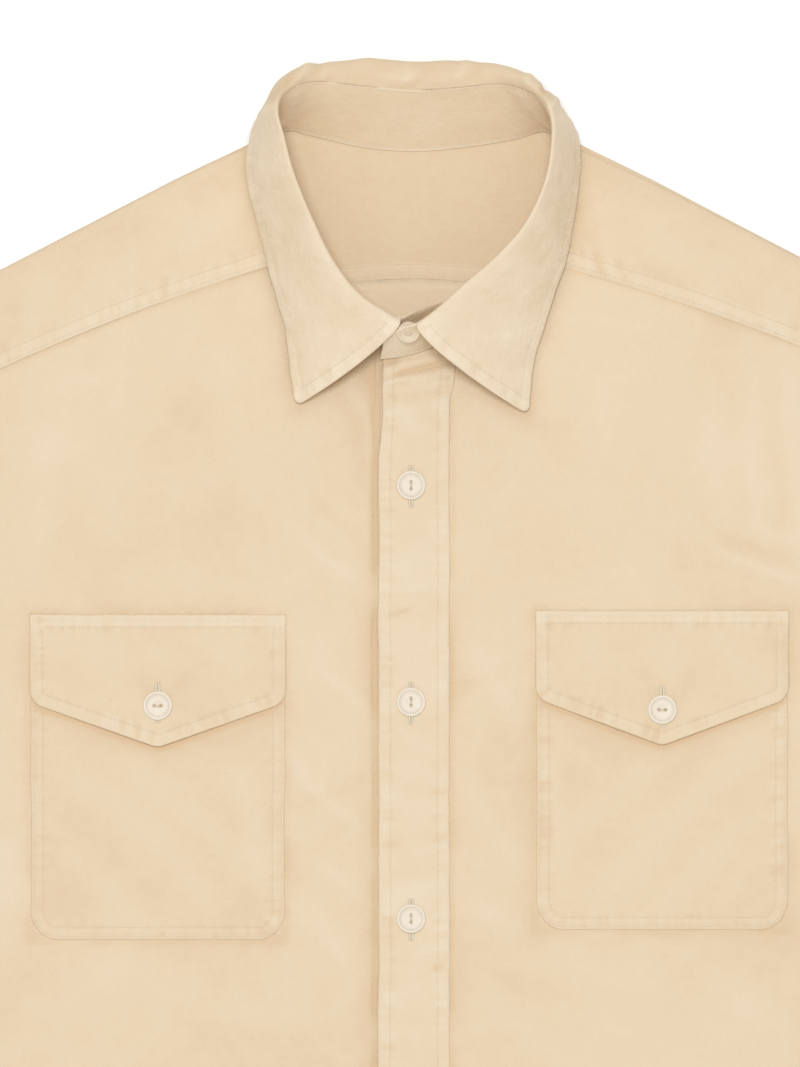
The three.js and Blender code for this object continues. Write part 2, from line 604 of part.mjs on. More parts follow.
// Plan of a sleeve between its two edges, the armhole and the cuff seam. It starts clear of the body.
const sleeveStart = (w) => {
  const p = armAt(1, w);
  return { x: p.x + mix(0.45, 2.5, w ** 4), y: p.y + 2.4 * w ** 4 };
};
const sleeveOuter = curve(sleeveStart(0), SLEEVE_OUTER, SLEEVE_END.outer);
const sleeveInner = curve(sleeveStart(1), SLEEVE_INNER, SLEEVE_END.inner);
const sleevePlan = patch(
  sleeveStart,
  (w) => ({
    x: mix(SLEEVE_END.outer.x, SLEEVE_END.inner.x, w),
    y: mix(SLEEVE_END.outer.y, SLEEVE_END.inner.y, w),
  }),
  (u) => sleeveOuter.getPoint(u),
  (u) => sleeveInner.getPoint(u),
);
// Height of the upper layer's middle surface; u runs down the sleeve and w across it.
const sleeveTopZ = (u, w) => {
  const p = sleevePlan(w, u);
  const crown = Math.sin(Math.PI * clamp01(w));
  const body = SLEEVE_LOFT * smooth(0, 0.2, u) + ridges(SLEEVE_FOLDS, p.x, p.y);
  return SLEEVE_HEIGHT - CLOTH / 2 + Math.sqrt(crown) * body * 0.9;
};

// Sleeve: a tube pressed flat, its lower layer on the floor.
function sleeve(sign) {
  const topShares = [0.025, ...armPlaces.slice(1, -1), 0.975];
  const lowShares = [...topShares].reverse();
  const grid = steps(14, (u) => {
    const ring = topShares.map((w) => {
      const p = sleevePlan(w, u);
      return at(sign * p.x, p.y, sleeveTopZ(u, w));
    });
    const edge = (w) => {
      const p = sleevePlan(w, u);
      return at(sign * p.x, p.y, SLEEVE_HEIGHT / 2);
    };
    ring.push(edge(1));
    lowShares.forEach((w) => {
      const p = sleevePlan(w, u);
      ring.push(at(sign * p.x, p.y, CLOTH / 2));
    });
    ring.push(edge(0));
    return ring;
  });
  return wall(grid, CLOTH, true);
}

// Directions of the cuff: along the sleeve, and across it from the underarm edge to the outer edge.
const cuffMiddle = {
  x: (SLEEVE_END.outer.x + SLEEVE_END.inner.x) / 2,
  y: (SLEEVE_END.outer.y + SLEEVE_END.inner.y) / 2,
};
const cuffWidth = Math.hypot(
  SLEEVE_END.outer.x - SLEEVE_END.inner.x,
  SLEEVE_END.outer.y - SLEEVE_END.inner.y,
);
const cuffAcross = {
  x: (SLEEVE_END.outer.x - SLEEVE_END.inner.x) / cuffWidth,
  y: (SLEEVE_END.outer.y - SLEEVE_END.inner.y) / cuffWidth,
};
const cuffPoint = (sign, across, along, z) =>
  at(
    sign * (cuffMiddle.x + cuffAcross.x * across + cuffAcross.y * along),
    cuffMiddle.y + cuffAcross.y * across - cuffAcross.x * along,
    z,
  );
const CUFF_LOW = BAND / 2;
const CUFF_MID = CUFF_LOW + BAND + 1.4;
const CUFF_HIGH = CUFF_MID + BAND + GAP + 0.1;

// Cuff: a band wrapped once round the wrist, its upper end lapped over the lower one.
function cuff(sign) {
  const half = cuffWidth / 2 - 1;
  const middle = (CUFF_LOW + CUFF_MID) / 2;
  const section = [
    [CUFF_START, CUFF_MID],
    [0, CUFF_MID],
    [-half / 2, CUFF_MID],
    [-half + 4, CUFF_MID],
    [-half + 1, CUFF_MID - 0.4],
    [-half, middle],
    [-half + 1, CUFF_LOW + 0.4],
    [-half + 4, CUFF_LOW],
    [0, CUFF_LOW],
    [half - 4, CUFF_LOW],
    [half - 1, CUFF_LOW + 0.4],
    [half, middle],
    [half - 1, CUFF_MID - 0.4],
    [half - 4, CUFF_MID],
    [half - 10, CUFF_MID + 0.3],
    [CUFF_START + 3, CUFF_HIGH],
    [CUFF_START / 2, CUFF_HIGH],
    [CUFF_FINISH, CUFF_HIGH],
  ];
  const grid = section.map(([across, z]) =>
    steps(3, (t) => cuffPoint(sign, across, GAP + 0.2 + t * CUFF_DEPTH, z)),
  );
  return wall(grid, BAND);
}

// Pointed strip that binds the slit above the cuff, on the sleeve's upper layer.
function slitStrip(sign) {
  const length = sleeveOuter.getLength();
  const share = SLIT.length / length;
  const halfShare = SLIT.width / 2 / cuffWidth;
  const grid = [0, 0.2, 0.4, 0.6, 0.8, 0.9, 1].map((t) => {
    const u = mix(0.996, 1 - share, t);
    const narrow = 1 - 0.96 * smooth(1 - SLIT.point / SLIT.length, 1, t);
    return steps(2, (v) => {
      const w = SLIT.across + (v - 0.5) * 2 * halfShare * narrow;
      const p = sleevePlan(w, u);
      return at(sign * p.x, p.y, sleeveTopZ(u, w) + CLOTH + GAP + 0.9);
    });
  });
  return wall(grid, CLOTH);
}

// Solid for joining and cutting, from a closed three.js geometry.
function solid(geometry) {
  const bare = geometry.clone();
  bare.deleteAttribute("normal");
  bare.deleteAttribute("uv");
  const merged = mergeVertices(bare, 1e-4);
  return new wasm.Manifold(
    new wasm.Mesh({
      numProp: 3,
      vertProperties: merged.attributes.position.array,
      triVerts: new Uint32Array(merged.index.array),
    }),
  );
}
function geometryOf(made) {
  const mesh = made.getMesh();
  const geometry = new THREE.BufferGeometry();
  geometry.setAttribute("position", new THREE.BufferAttribute(mesh.vertProperties, 3));
  geometry.setIndex(new THREE.BufferAttribute(mesh.triVerts, 1));
  return geometry;
}

// Two-hole button with a raised rim, its axis along Z and its underside on Z = 0.
function button({ radius, height, rim, dish, hole, pitch }) {
  const profile = [
    [0, 0],
    [radius - 0.9, 0],
    [radius, height * 0.45],
    [radius - 0.5, height],
    [radius - rim, height],
    [radius - rim - 1.1, height - dish],
    [0, height - dish],
  ].map(([r, z]) => new THREE.Vector2(r, z));
  const disc = new THREE.LatheGeometry(profile, 14).rotateX(Math.PI / 2);
  let made = solid(disc);
  for (const side of [-1, 1]) {
    const drill = new THREE.CylinderGeometry(hole, hole, 4 * height, 6);
    drill.rotateX(Math.PI / 2).translate(0, (side * pitch) / 2, 0);
    made = made.subtract(solid(drill));
  }
  return geometryOf(made);
}

const shirting = new THREE.MeshStandardMaterial({ color: 0xecd7b7, roughness: 0.85, metalness: 0 });
const doubled = new THREE.MeshStandardMaterial({ color: 0xeddabe, roughness: 0.85, metalness: 0 });
const shell = new THREE.MeshStandardMaterial({ color: 0xeee2cf, roughness: 0.35, metalness: 0 });

const shirt = new THREE.Group();
function add(name, geometry, material) {
  const mesh = new THREE.Mesh(geometry, material);
  mesh.name = name;
  shirt.add(mesh);
  return mesh;
}

add("back", backPanel(), shirting);
for (const [stretch, geometry] of Object.entries(yoke())) add(`yoke_${stretch}`, geometry, shirting);
add("front_right", frontPanel(-1), shirting);
add("front_left", frontPanel(1), shirting);
add("front_band", frontBand(), doubled);
add("collar_stand", collarStand(), doubled);
add("collar_leaf", collarLeaf(), doubled);
for (const row of POCKETS) {
  add(`pocket_${row.side}`, pocket(row), shirting);
  add(`pocket_flap_${row.side}`, flap(row), doubled);
  const share = (row.top - row.buttonY) / (row.top - row.tip);
  const made = add(`pocket_button_${row.side}`, button(BUTTON), shell);
  const z = flapHeight(row.x, row.buttonY, 0, share, row.top) + 0.25 + BAND / 2 + GAP;
  made.position.set(row.x, row.buttonY, z);
  made.rotation.z = Math.PI / 2;
}
for (let i = 0; i < BAND_BUTTONS; i++) {
  const y = FIRST_BUTTON_Y - i * BUTTON_STEP;
  const made = add(`front_button_${i + 1}`, button(BUTTON), shell);
  made.position.set(BUTTON_X, y, frontUnder(BUTTON_X, y, true) + CLOTH + GAP + BAND + GAP + 0.1);
}
for (const [side, sign] of [
  ["right", -1],
  ["left", 1],
]) {
  add(`sleeve_${side}`, sleeve(sign), shirting);
  add(`cuff_${side}`, cuff(sign), doubled);
  add(`sleeve_slit_${side}`, slitStrip(sign), shirting);
  const made = add(`cuff_button_${side}`, button(COLLAR_BUTTON), shell);
  made.position.copy(cuffPoint(sign, CUFF_BUTTON, CUFF_DEPTH / 2, CUFF_HIGH + BAND / 2 + GAP));
}

// Collar button, square to the outer face of the stand's upper end.
const COLLAR_BUTTON_ROW = 24.5;
const COLLAR_BUTTON_UP = 0.74;
const section = collarSection(COLLAR_BUTTON_ROW);
const climb = section.top.clone().sub(section.neck).normalize();
const sideways = at(1, 0, 0);
const facing = climb.clone().cross(sideways).normalize();
if (facing.z < 0) facing.negate();
const collarButton = add("collar_button", button(COLLAR_BUTTON), shell);
collarButton.quaternion.setFromUnitVectors(at(0, 0, 1), facing);
collarButton.position
  .copy(section.neck)
  .lerp(section.top, COLLAR_BUTTON_UP)
  .addScaledVector(facing, BAND / 2 + GAP + 0.9);

export default shirt;
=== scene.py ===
"""A cream cotton overshirt, buttoned up and laid flat on its back, seen from straight above.
Sizes are worked out in millimetres and written to the meshes in metres."""

import math

import bpy
import numpy as np
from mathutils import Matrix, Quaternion, Vector


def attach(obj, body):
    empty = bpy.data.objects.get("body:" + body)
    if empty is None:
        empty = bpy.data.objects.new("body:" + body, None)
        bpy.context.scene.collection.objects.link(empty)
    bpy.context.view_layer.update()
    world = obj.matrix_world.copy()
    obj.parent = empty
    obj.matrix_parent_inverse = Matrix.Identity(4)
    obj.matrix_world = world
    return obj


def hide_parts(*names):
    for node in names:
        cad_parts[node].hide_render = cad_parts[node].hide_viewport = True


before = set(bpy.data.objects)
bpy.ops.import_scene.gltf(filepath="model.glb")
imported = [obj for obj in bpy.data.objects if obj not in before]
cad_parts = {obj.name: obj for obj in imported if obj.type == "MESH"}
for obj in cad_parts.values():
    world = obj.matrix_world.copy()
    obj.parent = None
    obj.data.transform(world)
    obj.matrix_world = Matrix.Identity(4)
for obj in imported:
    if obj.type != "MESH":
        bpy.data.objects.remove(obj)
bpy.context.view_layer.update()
MM = 0.001

# Sizes shared with the solids; the right side is the wearer's, at negative x

SIDES = {-1: "right", 1: "left"}
CLOTH = 1.2
BAND = 1.5
GAP = 0.3
LAYER = CLOTH + GAP

HEM_Y = -403.3
HEM_RISE = 46  # how far the hem climbs from the middle to the side
HEM_HALF = 290
CHEST_HALF = 300
UNDERARM_Y = 22
SHOULDER_Y0 = 401  # where the two shoulder lines would meet
SHOULDER_SLOPE = 0.516
SHOULDER_HALF = 258  # x of the shoulder's tip
ARMHOLE_BOW = ((243, 188), (256, 34))  # pull points of the armhole's curve

YOKE_BACK_Y = 293
YOKE_BACK_DROP = 82  # how far the back seam falls from the middle to the armhole
YOKE_NECK_X = 48  # the front seams of the yoke start near here, at the neck
YOKE_NECK_Y = 306
YOKE_BEND = 0.00055
YOKE_SLOPE = {"right": 0.2825, "left": 0.242}
YOKE_LAP = 8  # how far the fronts reach under the yoke

BAND_LEFT = -17
BAND_RIGHT = 19
UNDERLAP = 15.5  # x of the right front's edge, under the band
SIDE_FALL = 60  # width over which the body sinks to its edge
BODY_LOFT = 1.5  # how far the fronts stand off the back
NECK_LIFT = {"x": 3, "y": 258, "height": 3, "spread": 38}

# Soft folds: x0, y0, x1, y1, width, height
FOLDS = (
    (-205, 190, -60, 214, 30, 1.3),
    (-240, 70, -205, -160, 26, 1.7),
    (-60, 20, -28, 90, 17, 1.1),
    (-180, -80, -40, -170, 32, 1.5),
    (188, 250, 180, 120, 13, 1.6),
    (218, 225, 212, 60, 15, 1.8),
    (60, -50, 160, -150, 30, 1.4),
    (40, 200, 150, 165, 30, 1.1),
    (226, 20, 200, -220, 28, 1.7),
    (-150, -240, -90, -350, 30, 1.5),
    (70, -250, 120, -370, 32, 1.5),
)

POCKETS = {
    "right": {"x": -127, "width": 127, "top": 125, "bottom": -37.5, "tip": 58.5, "button": 79.5},
    "left": {"x": 125, "width": 125.5, "top": 127, "bottom": -32.5, "tip": 59.5, "button": 77.5},
}
FLAP_SIDE = 44  # depth of a flap at its sides
FLAP_CORNER = 6
FLAP_OVERHANG = 0.6
POCKET_MOUTH = 12
POCKET_CORNER = 13
POCKET_PUFF = 0.9
FLAP_PUFF = 1.1

BUTTON_X = -0.5
FIRST_BUTTON_Y = 189.5
BUTTON_STEP = 108.2
BAND_BUTTONS_Y = [FIRST_BUTTON_Y - i * BUTTON_STEP for i in range(5)]
BUTTON = {"radius": 7.25, "height": 2.6, "rim": 1.3, "dish": 0.9, "hole": 0.9, "pitch": 3.6}
SMALL = {**BUTTON, "radius": 5.75, "height": 2.3}
BUTTON_OFF = 0.5  # from the cloth to the underside of a button
COLLAR_BUTTON_ROW = 24.5  # the collar's row that the button lies on
COLLAR_BUTTON_UP = 0.74  # share of the stand's height

# Collar sections: neck x, neck y, top x, top y, edge x, edge y, tuck
COLLAR = (
    (16, 262, 15, 281, None, None, 0),
    (3.5, 259, 3.5, 277, None, None, 0),
    (-9, 258.5, -6.5, 273, -58, 229, 0),
    (-20, 266, -14.5, 276.5, -61, 246.5, 0),
    (-33, 281, -26, 284, -63, 264.5, 0),
    (-46, 300, -38.5, 299.5, -67.5, 284, 0),
    (-55.5, 320, -49, 320, -74, 309.5, 0),
    (-64.5, 345, -59.5, 346, -81.5, 341.5, 0),
    (-68.5, 358.5, -64, 363, -81.5, 359, 0.05),
    (-67.5, 365, -67, 375.5, -76, 374, 0.4),
    (-62.5, 367, -64.5, 384, -63, 379, 0.75),
    (-51, 364.5, -53, 391, -48.5, 376.5, 1),
    (-25.5, 358.5, -24, 389.5, -25, 371, 1),
    (-1, 356.5, -1, 387.5, 0, 369.5, 1),
    (23, 358, 20, 388.5, 23, 370.5, 1),
    (51.5, 362.5, 48, 390, 46.5, 375.5, 1),
    (66.5, 366.5, 64.5, 382, 62, 376, 0.75),
    (73, 363.5, 69.5, 371.5, 79, 370, 0.4),
    (75.5, 355, 69.5, 357.5, 83.5, 356, 0.05),
    (73, 341, 66.5, 341, 83, 341, 0),
    (64, 319.5, 56.5, 319.5, 78, 308.5, 0),
    (51, 300, 42, 303, 72, 287.5, 0),
    (36, 281.5, 27, 290, 65.5, 267.5, 0),
    (20, 264.5, 13.5, 278, 60.5, 247.5, 0),
    (6, 257, 3, 270.5, 58, 225, 0),
    (-5, 254, -5, 268, None, None, 0),
    (-16, 252.6, -14, 262.3, None, None, 0),
)
STAND_BACK = 33.5
STAND_FRONT = 24.5
STAND_ROUND = 5  # how much lower the stand is at its rounded ends
BACK_FULLNESS = 2.6  # the leaf stands out a little further in the middle of the back
LEAF_TUCK = 0.9  # how far the leaf reaches down behind the stand's top
COLLAR_ROLL = {"front": 7, "back": 19}  # how far the leaf climbs before it rolls over
COLLAR_TURN = 22  # how far it swings out behind the neck
COLLAR_TIGHT = 0.32  # how much less at the corners behind the neck
POINT_BOW = {"top": 9.5, "low": 5}  # bow of the front edge of each collar point
POINT_ROUND = 4.5
NECK_TUCK = 1.2  # how far the body reaches under the collar stand

# Rows of the collar at which the seams, the fronts and the shoulder folds meet the neck
RIGHT_SEAM_ROW = 5.3
LEFT_SEAM_ROW = 20.8
RIGHT_FRONT_ROW = 0.1
LEFT_FRONT_ROW = 25.6
RIGHT_FOLD_ROWS = (8.1, 8.5, 9, 9.5, 10)
LEFT_FOLD_ROWS = (18.2, 17.7, 17.2, 16.6, 16)

SLEEVE_OUTER_END = (699, -51)
SLEEVE_INNER_END = (617.5, -148)
SLEEVE_OUTER = ((400, 193), (580, 59))
SLEEVE_INNER = ((372, -32), (500, -72))
SLEEVE_HEIGHT = 3.6
SLEEVE_LOFT = 1.4
SLEEVE_FOLDS = (
    (310, 60, 420, 20, 20, 1.2),
    (330, 130, 470, 70, 24, 1.1),
    (300, 210, 400, 150, 22, 1),
    (430, 90, 500, -20, 21, 1.1),
    (520, 20, 580, -70, 20, 1.1),
    (585, 0, 655, -88, 13, 1.2),
    (560, -40, 634, -122, 12, 1.1),
)
SLEEVE_OFF = np.array([[0.45, 0], [0.9, 0.7]])  # gap at the armhole, at the shoulder and the underarm
ARMHOLE_ROWS = (1, 3)  # rings of the sleeve that carry its rows of stitches
CUFF_DEPTH = 65
CUFF_GAP = GAP + 0.2
CUFF_START = 26  # across the cuff: its lower end, its lapped end and its button
CUFF_FINISH = 2
CUFF_BUTTON = 14
CUFF_MIDDLE = np.add(SLEEVE_OUTER_END, SLEEVE_INNER_END) / 2
CUFF_WIDTH = math.dist(SLEEVE_OUTER_END, SLEEVE_INNER_END)
CUFF_ACROSS = np.subtract(SLEEVE_OUTER_END, SLEEVE_INNER_END) / CUFF_WIDTH
CUFF_LOW = BAND / 2  # heights of the cuff's lower layer, upper layer and lapped end
CUFF_MID = CUFF_LOW + BAND + 1.4
CUFF_HIGH = CUFF_MID + BAND + GAP + 0.1
SLIT_LENGTH = 128
SLIT_WIDTH = 24
SLIT_ACROSS = 0.36  # its place across the sleeve, as a share from the outer edge
SLIT_POINT = 12  # length of its pointed end

# Sizes of the cloth that this script adds

TURN = 0.9  # radius of a folded edge
PATCH_THICK = 0.95  # the band and the pockets over the cloth that they lie on
FLAP_THICK = 0.85
SIDE_SHARE = 0.62  # share of a panel's side edge that lies below the underarm
NECK_SHARE = 0.3  # share of a front's upper edge that lies along the neck
BAND_LENGTH = 655.0
BAND_TOP_Y = 253.5
BAND_TOP_BOW = 0.0068  # the band's upper end climbs with the neckline
YOKE_FRONT = 62.0  # from the front seam of the yoke to its fold, along the armhole
YOKE_REACH = 200.0  # from the neck to the armhole, across the yoke
FOLD_STEPS = 11  # columns of cloth round each shoulder fold
FACING_EDGE = -18.4  # edge of the right front's facing, seen beside the band

# Rows of stitches: distances from the edge that each row follows

STITCH_STEP = 2.0  # between the stitches of a row
SATIN_STEP = 0.52  # between the stitches of a buttonhole
TOPSTITCH = 6.2
EDGESTITCH = 1.6
STAND_STITCH = 1.7
HEM_STITCH = 7
YOKE_ROWS = (1.8, 7.6)
YOKE_BACK_ROWS = (1.6, 7.0)
FACING_STITCH = -16.5  # x of the row on the right front's facing
NO_EDGE = 99.0  # a distance beyond the reach of any sewing

# Photograph and camera

PHOTO_WIDTH, PHOTO_HEIGHT = 800, 1067
PHOTO_ORIGIN = (412, 864.4)  # the pixel that shows the frame's origin
PIXEL = 0.5  # millimetres of cloth to one pixel
CAMERA_HEIGHT = 6.0
SENSOR = 36

# Creases: x0, y0, x1, y1, width, height; a negative height is a trough

FRONT_CREASES = (
    (-34, 254, -20, 196, 5, 0.9),
    (-46, 246, -26, 214, 4, -0.5),
    (-26, 240, -19, 160, 4, 0.6),
    (-70, 216, -110, 180, 7, 0.5),
    (-150, 250, -196, 232, 6, 0.4),
    (-100, 268, -88, 210, 9, 0.5),
    (-176, 226, -190, 150, 8, 0.6),
    (-56, 176, -24, 140, 4, 0.8),
    (-50, 192, -24, 168, 3, -0.6),
    (-44, 158, -22, 150, 3, 0.6),
    (150, 157, 198, 141, 3.5, 1.0),
    (150, 164, 198, 149, 4, -0.6),
    (160, 172, 200, 160, 4, 0.6),
    (-62, 60, -24, 14, 5, 0.9),
    (-50, 96, -22, 74, 4, 0.7),
    (-58, 30, -22, 44, 5, -0.6),
    (-56, 0, -22, -22, 5, 0.8),
    (-196, 20, -202, -60, 6, 0.6),
    (-60, -20, -24, -60, 7, 0.5),
    (-150, -50, -60, -80, 8, 0.6),
    (-120, -60, -40, -96, 7, -0.4),
    (175, 245, 172, 166, 4, 0.7),
    (186, 232, 184, 160, 4, -0.5),
    (192, 250, 195, 150, 5, 0.6),
    (150, 222, 158, 170, 7, 0.4),
    (60, 220, 40, 150, 9, 0.5),
    (30, 236, 60, 210, 6, 0.5),
    (90, 250, 110, 200, 10, 0.4),
    (22, 118, 56, 66, 6, 0.8),
    (22, 44, 54, -2, 5, 0.8),
    (22, 84, 50, 92, 5, -0.6),
    (22, -14, 56, -34, 6, 0.8),
    (40, -40, 120, -64, 8, 0.6),
    (30, -60, 90, -110, 8, 0.5),
    (150, -50, 196, -90, 8, 0.6),
    (-240, -180, -120, -230, 12, 0.8),
    (60, -160, 200, -210, 12, 0.8),
    (-220, -300, -80, -280, 12, 0.7),
    (90, -320, 240, -290, 12, 0.7),
    (-270, 60, -230, -20, 10, 1.0),
    (270, 50, 236, -30, 10, 1.0),
)
# Folds of the band; the first ones lie under the collar, where the stand pulls it
BAND_FOLDS = (
    (-16, 243, 20, 251.5, 1.7, -1.2),
    (-16, 247.5, 18, 255, 1.5, 0.5),
    (-15, 238.5, 0, 241.5, 1.4, -0.9),
    (-16, 240, 16, 246, 2, 0.6),
    (-12, 252, 2, 253.5, 1, -0.4),
    (2, 236, 18, 242, 2.2, 0.5),
    (-10, 232, 2, 214, 4, 0.5),
    (4, 232, 14, 216, 4, -0.4),
    (-14, 150, 12, 160, 5, 0.5),
    (-16, 122, 2, 127, 1.8, -0.4),
    (-8, 66, 16, 54, 5, 0.5),
    (-14, 36, 10, 26, 5, 0.5),
    (-16, 12, 0, 6, 4, -0.4),
    (-14, -20, 14, -8, 6, 0.5),
    (0, -44, 18, -38, 4, 0.4),
    (-16, -70, 6, -62, 5, 0.5),
    (-14, -150, 14, -140, 6, 0.5),
    (-14, -260, 12, -272, 6, 0.5),
    (-12, -340, 14, -332, 6, 0.5),
)
# Creases of each pocket and dents of the flaps, from the pocket's top middle
POCKET_CREASES = {
    "right": (
        (-56, -60, 30, -150, 9, 0.7),
        (-20, -70, 52, -130, 8, 0.6),
        (10, -66, 60, -100, 8, 0.4),
        (-58, -100, -10, -158, 7, 0.5),
        (-40, -150, 20, -156, 5, 0.4),
        (40, -70, 58, -150, 6, 0.5),
    ),
    "left": (
        (54, -62, -40, -150, 10, 0.8),
        (60, -96, -10, -156, 8, 0.5),
        (-54, -62, -50, -140, 6, 0.6),
        (10, -68, -50, -110, 8, 0.5),
        (30, -150, 58, -110, 6, 0.4),
        (-56, -60, -20, -84, 6, 0.4),
    ),
}
FLAP_DENTS = (
    (-40, -10, -30, -34, 8, 0.4),
    (20, -8, 44, -30, 9, 0.4),
    (-12, -26, -3, -44, 4, -0.35),
    (14, -26, 4, -44, 4, -0.35),
    (-8, -14, 10, -30, 7, 0.35),
)
POCKET_SEEDS = {"right": 60, "left": 66}
FLAP_SEEDS = {"right": 80, "left": 86}
YOKE_CREASES = (
    (-84, 340, -120, 300, 8, 0.5),
    (-120, 322, -170, 262, 9, 0.5),
    (-96, 300, -150, 286, 6, 0.4),
    (-180, 300, -200, 250, 8, 0.5),
    (88, 338, 110, 290, 8, 0.5),
    (110, 330, 160, 270, 9, 0.5),
    (170, 296, 196, 250, 8, 0.5),
    (96, 300, 140, 286, 6, -0.3),
)
LEAF_CREASES = (
    (-72, 300, -46, 268, 5, 0.5),
    (-60, 262, -30, 262, 5, 0.4),
    (-76, 340, -66, 310, 4, 0.4),
    (60, 330, 78, 300, 5, 0.4),
    (34, 276, 56, 262, 6, 0.4),
    (-58, 389, -51, 400, 2.2, 1.1),
    (-52, 388, -45, 398, 2, -0.8),
    (-70, 379, -60, 392, 2.2, -1.5),
    (-73, 374, -64, 386, 2.0, 1.2),
    (-6, 390, -1, 399, 2.2, 0.7),
    (1, 390, 8, 400, 2, -0.5),
    (20, 391, 27, 402, 2.2, 0.9),
    (27, 390, 33, 400, 2, -0.6),
    (54, 389, 61, 397, 2.4, 1.0),
    (61, 382, 69, 391, 2, -1.4),
    (66, 376, 74, 385, 2, 1.1),
    (-30, 393, 10, 396, 2.5, 0.4),
)
# Creases that fan out from the underarm, cross at the elbow and gather above the cuff
SLEEVE_CREASES = (
    (306, 40, 376, 70, 6, 1.0),
    (304, 52, 350, 112, 5, -0.8),
    (312, 32, 412, 26, 7, 0.9),
    (318, 74, 372, 152, 8, 0.7),
    (290, 124, 326, 204, 9, 0.7),
    (350, 6, 402, 58, 7, 0.6),
    (378, 122, 452, 98, 9, 0.6),
    (414, -24, 450, 42, 6, 1.0),
    (430, -32, 482, 20, 5, -0.9),
    (440, 8, 508, 38, 7, 0.9),
    (462, -42, 522, -8, 6, 1.0),
    (470, 62, 542, 14, 8, 0.7),
    (520, -60, 560, -20, 7, 0.6),
    (560, -98, 586, -50, 5, 0.9),
    (602, -122, 572, -62, 4, -0.7),
    (640, -98, 602, -42, 5, 0.8),
    (656, -72, 614, -10, 5, -0.7),
    (678, -58, 642, -12, 5, 0.8),
)
# Creases of the stand where it bends: row number, lean, width, height
STAND_CREASES = (
    (7.9, 0.2, 3.0, 0.7),
    (8.5, -0.3, 2.5, -0.9),
    (9.1, 0.35, 2.5, 1.0),
    (9.6, 0.1, 3.0, -0.8),
    (10.2, -0.4, 4.0, 0.6),
    (15.7, 0.5, 4.0, 0.6),
    (16.4, 0.3, 3.0, -0.8),
    (16.9, -0.2, 2.5, 1.0),
    (17.5, 0.3, 2.5, -0.9),
    (18.1, -0.1, 3.0, 0.6),
)


# Small sums


def mix(a, b, t):
    return a + (b - a) * t


def clamp01(t):
    return np.clip(t, 0.0, 1.0)


def smooth(low, high, value):
    t = clamp01((np.asarray(value, float) - low) / (high - low))
    return t * t * (3 - 2 * t)


def bell(t):
    return np.exp(-np.square(t))


def unit(v):
    return v / np.maximum(np.linalg.norm(v, axis=-1, keepdims=True), 1e-9)


def lattice(seed, shape):
    return np.random.default_rng(seed).uniform(-1, 1, shape)


def waves(s, scale, seed):
    """Smooth uneven waves along one direction, between about -1 and 1."""
    values = lattice(seed, 256)
    t = np.asarray(s, float) / scale
    i = np.floor(t).astype(int)
    f = t - i
    f = f * f * (3 - 2 * f)
    return mix(values[i % 256], values[(i + 1) % 256], f)


def mounds(x, y, scale, seed):
    """Smooth uneven mounds over a surface, between about -1 and 1."""
    values = lattice(seed, (64, 64))
    tx = np.asarray(x, float) / scale
    ty = np.asarray(y, float) / scale
    i = np.floor(tx).astype(int)
    j = np.floor(ty).astype(int)
    fx = tx - i
    fy = ty - j
    fx = fx * fx * fx * (fx * (6 * fx - 15) + 10)
    fy = fy * fy * fy * (fy * (6 * fy - 15) + 10)
    low = mix(values[i % 64, j % 64], values[(i + 1) % 64, j % 64], fx)
    high = mix(values[i % 64, (j + 1) % 64], values[(i + 1) % 64, (j + 1) % 64], fx)
    return mix(low, high, fy)


def crumple(x, y, seed):
    """Washed cloth: shallow creases that run every way, in millimetres of height."""
    wx = x + 9 * mounds(x, y, 38, seed)
    wy = y + 9 * mounds(x, y, 38, seed + 1)
    crease = 1 - np.abs(mounds(wx, wy, 26, seed + 2)) * 2.2
    broad = 0.5 * mounds(x, y, 52, seed + 3)
    small = 0.11 * mounds(wx, wy, 10, seed + 4)
    return broad + small + 0.32 * np.clip(crease, 0, 1) ** 2


def painted_relief_shade_and_patches(relief, x, y, seed):
    """Tone of washed cloth: painted highlight on its ridges and painted shade in its troughs, with a little
    patchy dye.
    """
    patches = 0.06 * mounds(x, y, 55, seed) + 0.08 * mounds(x, y, 19, seed + 1)
    return np.clip(relief * 0.45, -0.6, 0.6) + patches


def seam_wear_and_painted_shade(relief):
    """Tone beside a washed seam: its ridges rub pale, and its puckers and sunk rows get painted shade."""
    return np.clip(relief * 1.7, -0.55, 0.55)


def ridges(table, x, y, wander=0):
    """Soft ridges, or troughs where the height is negative, from a table of folds."""
    if wander:
        x = x + wander * mounds(x, y, 42, 71)
        y = y + wander * mounds(x, y, 42, 72)
    total = np.zeros(np.broadcast(x, y).shape)
    for x0, y0, x1, y1, width, height in table:
        dx, dy = x1 - x0, y1 - y0
        along = ((x - x0) * dx + (y - y0) * dy) / (dx * dx + dy * dy)
        off = ((x - x0) * dy - (y - y0) * dx) / math.hypot(dx, dy)
        ends = smooth(-0.15, 0.3, along) * (1 - smooth(0.7, 1.15, along))
        total = total + height * ends * bell(off / width)
    return total


def bezier(p0, p1, p2, p3, t):
    """Cubic curve; the points may be arrays of points, and t an array of shares."""
    t = np.asarray(t, float)
    parts = ((1 - t) ** 3, 3 * t * (1 - t) ** 2, 3 * t * t * (1 - t), t**3)
    return sum(np.multiply.outer(w, np.asarray(p, float)) for w, p in zip(parts, (p0, p1, p2, p3)))


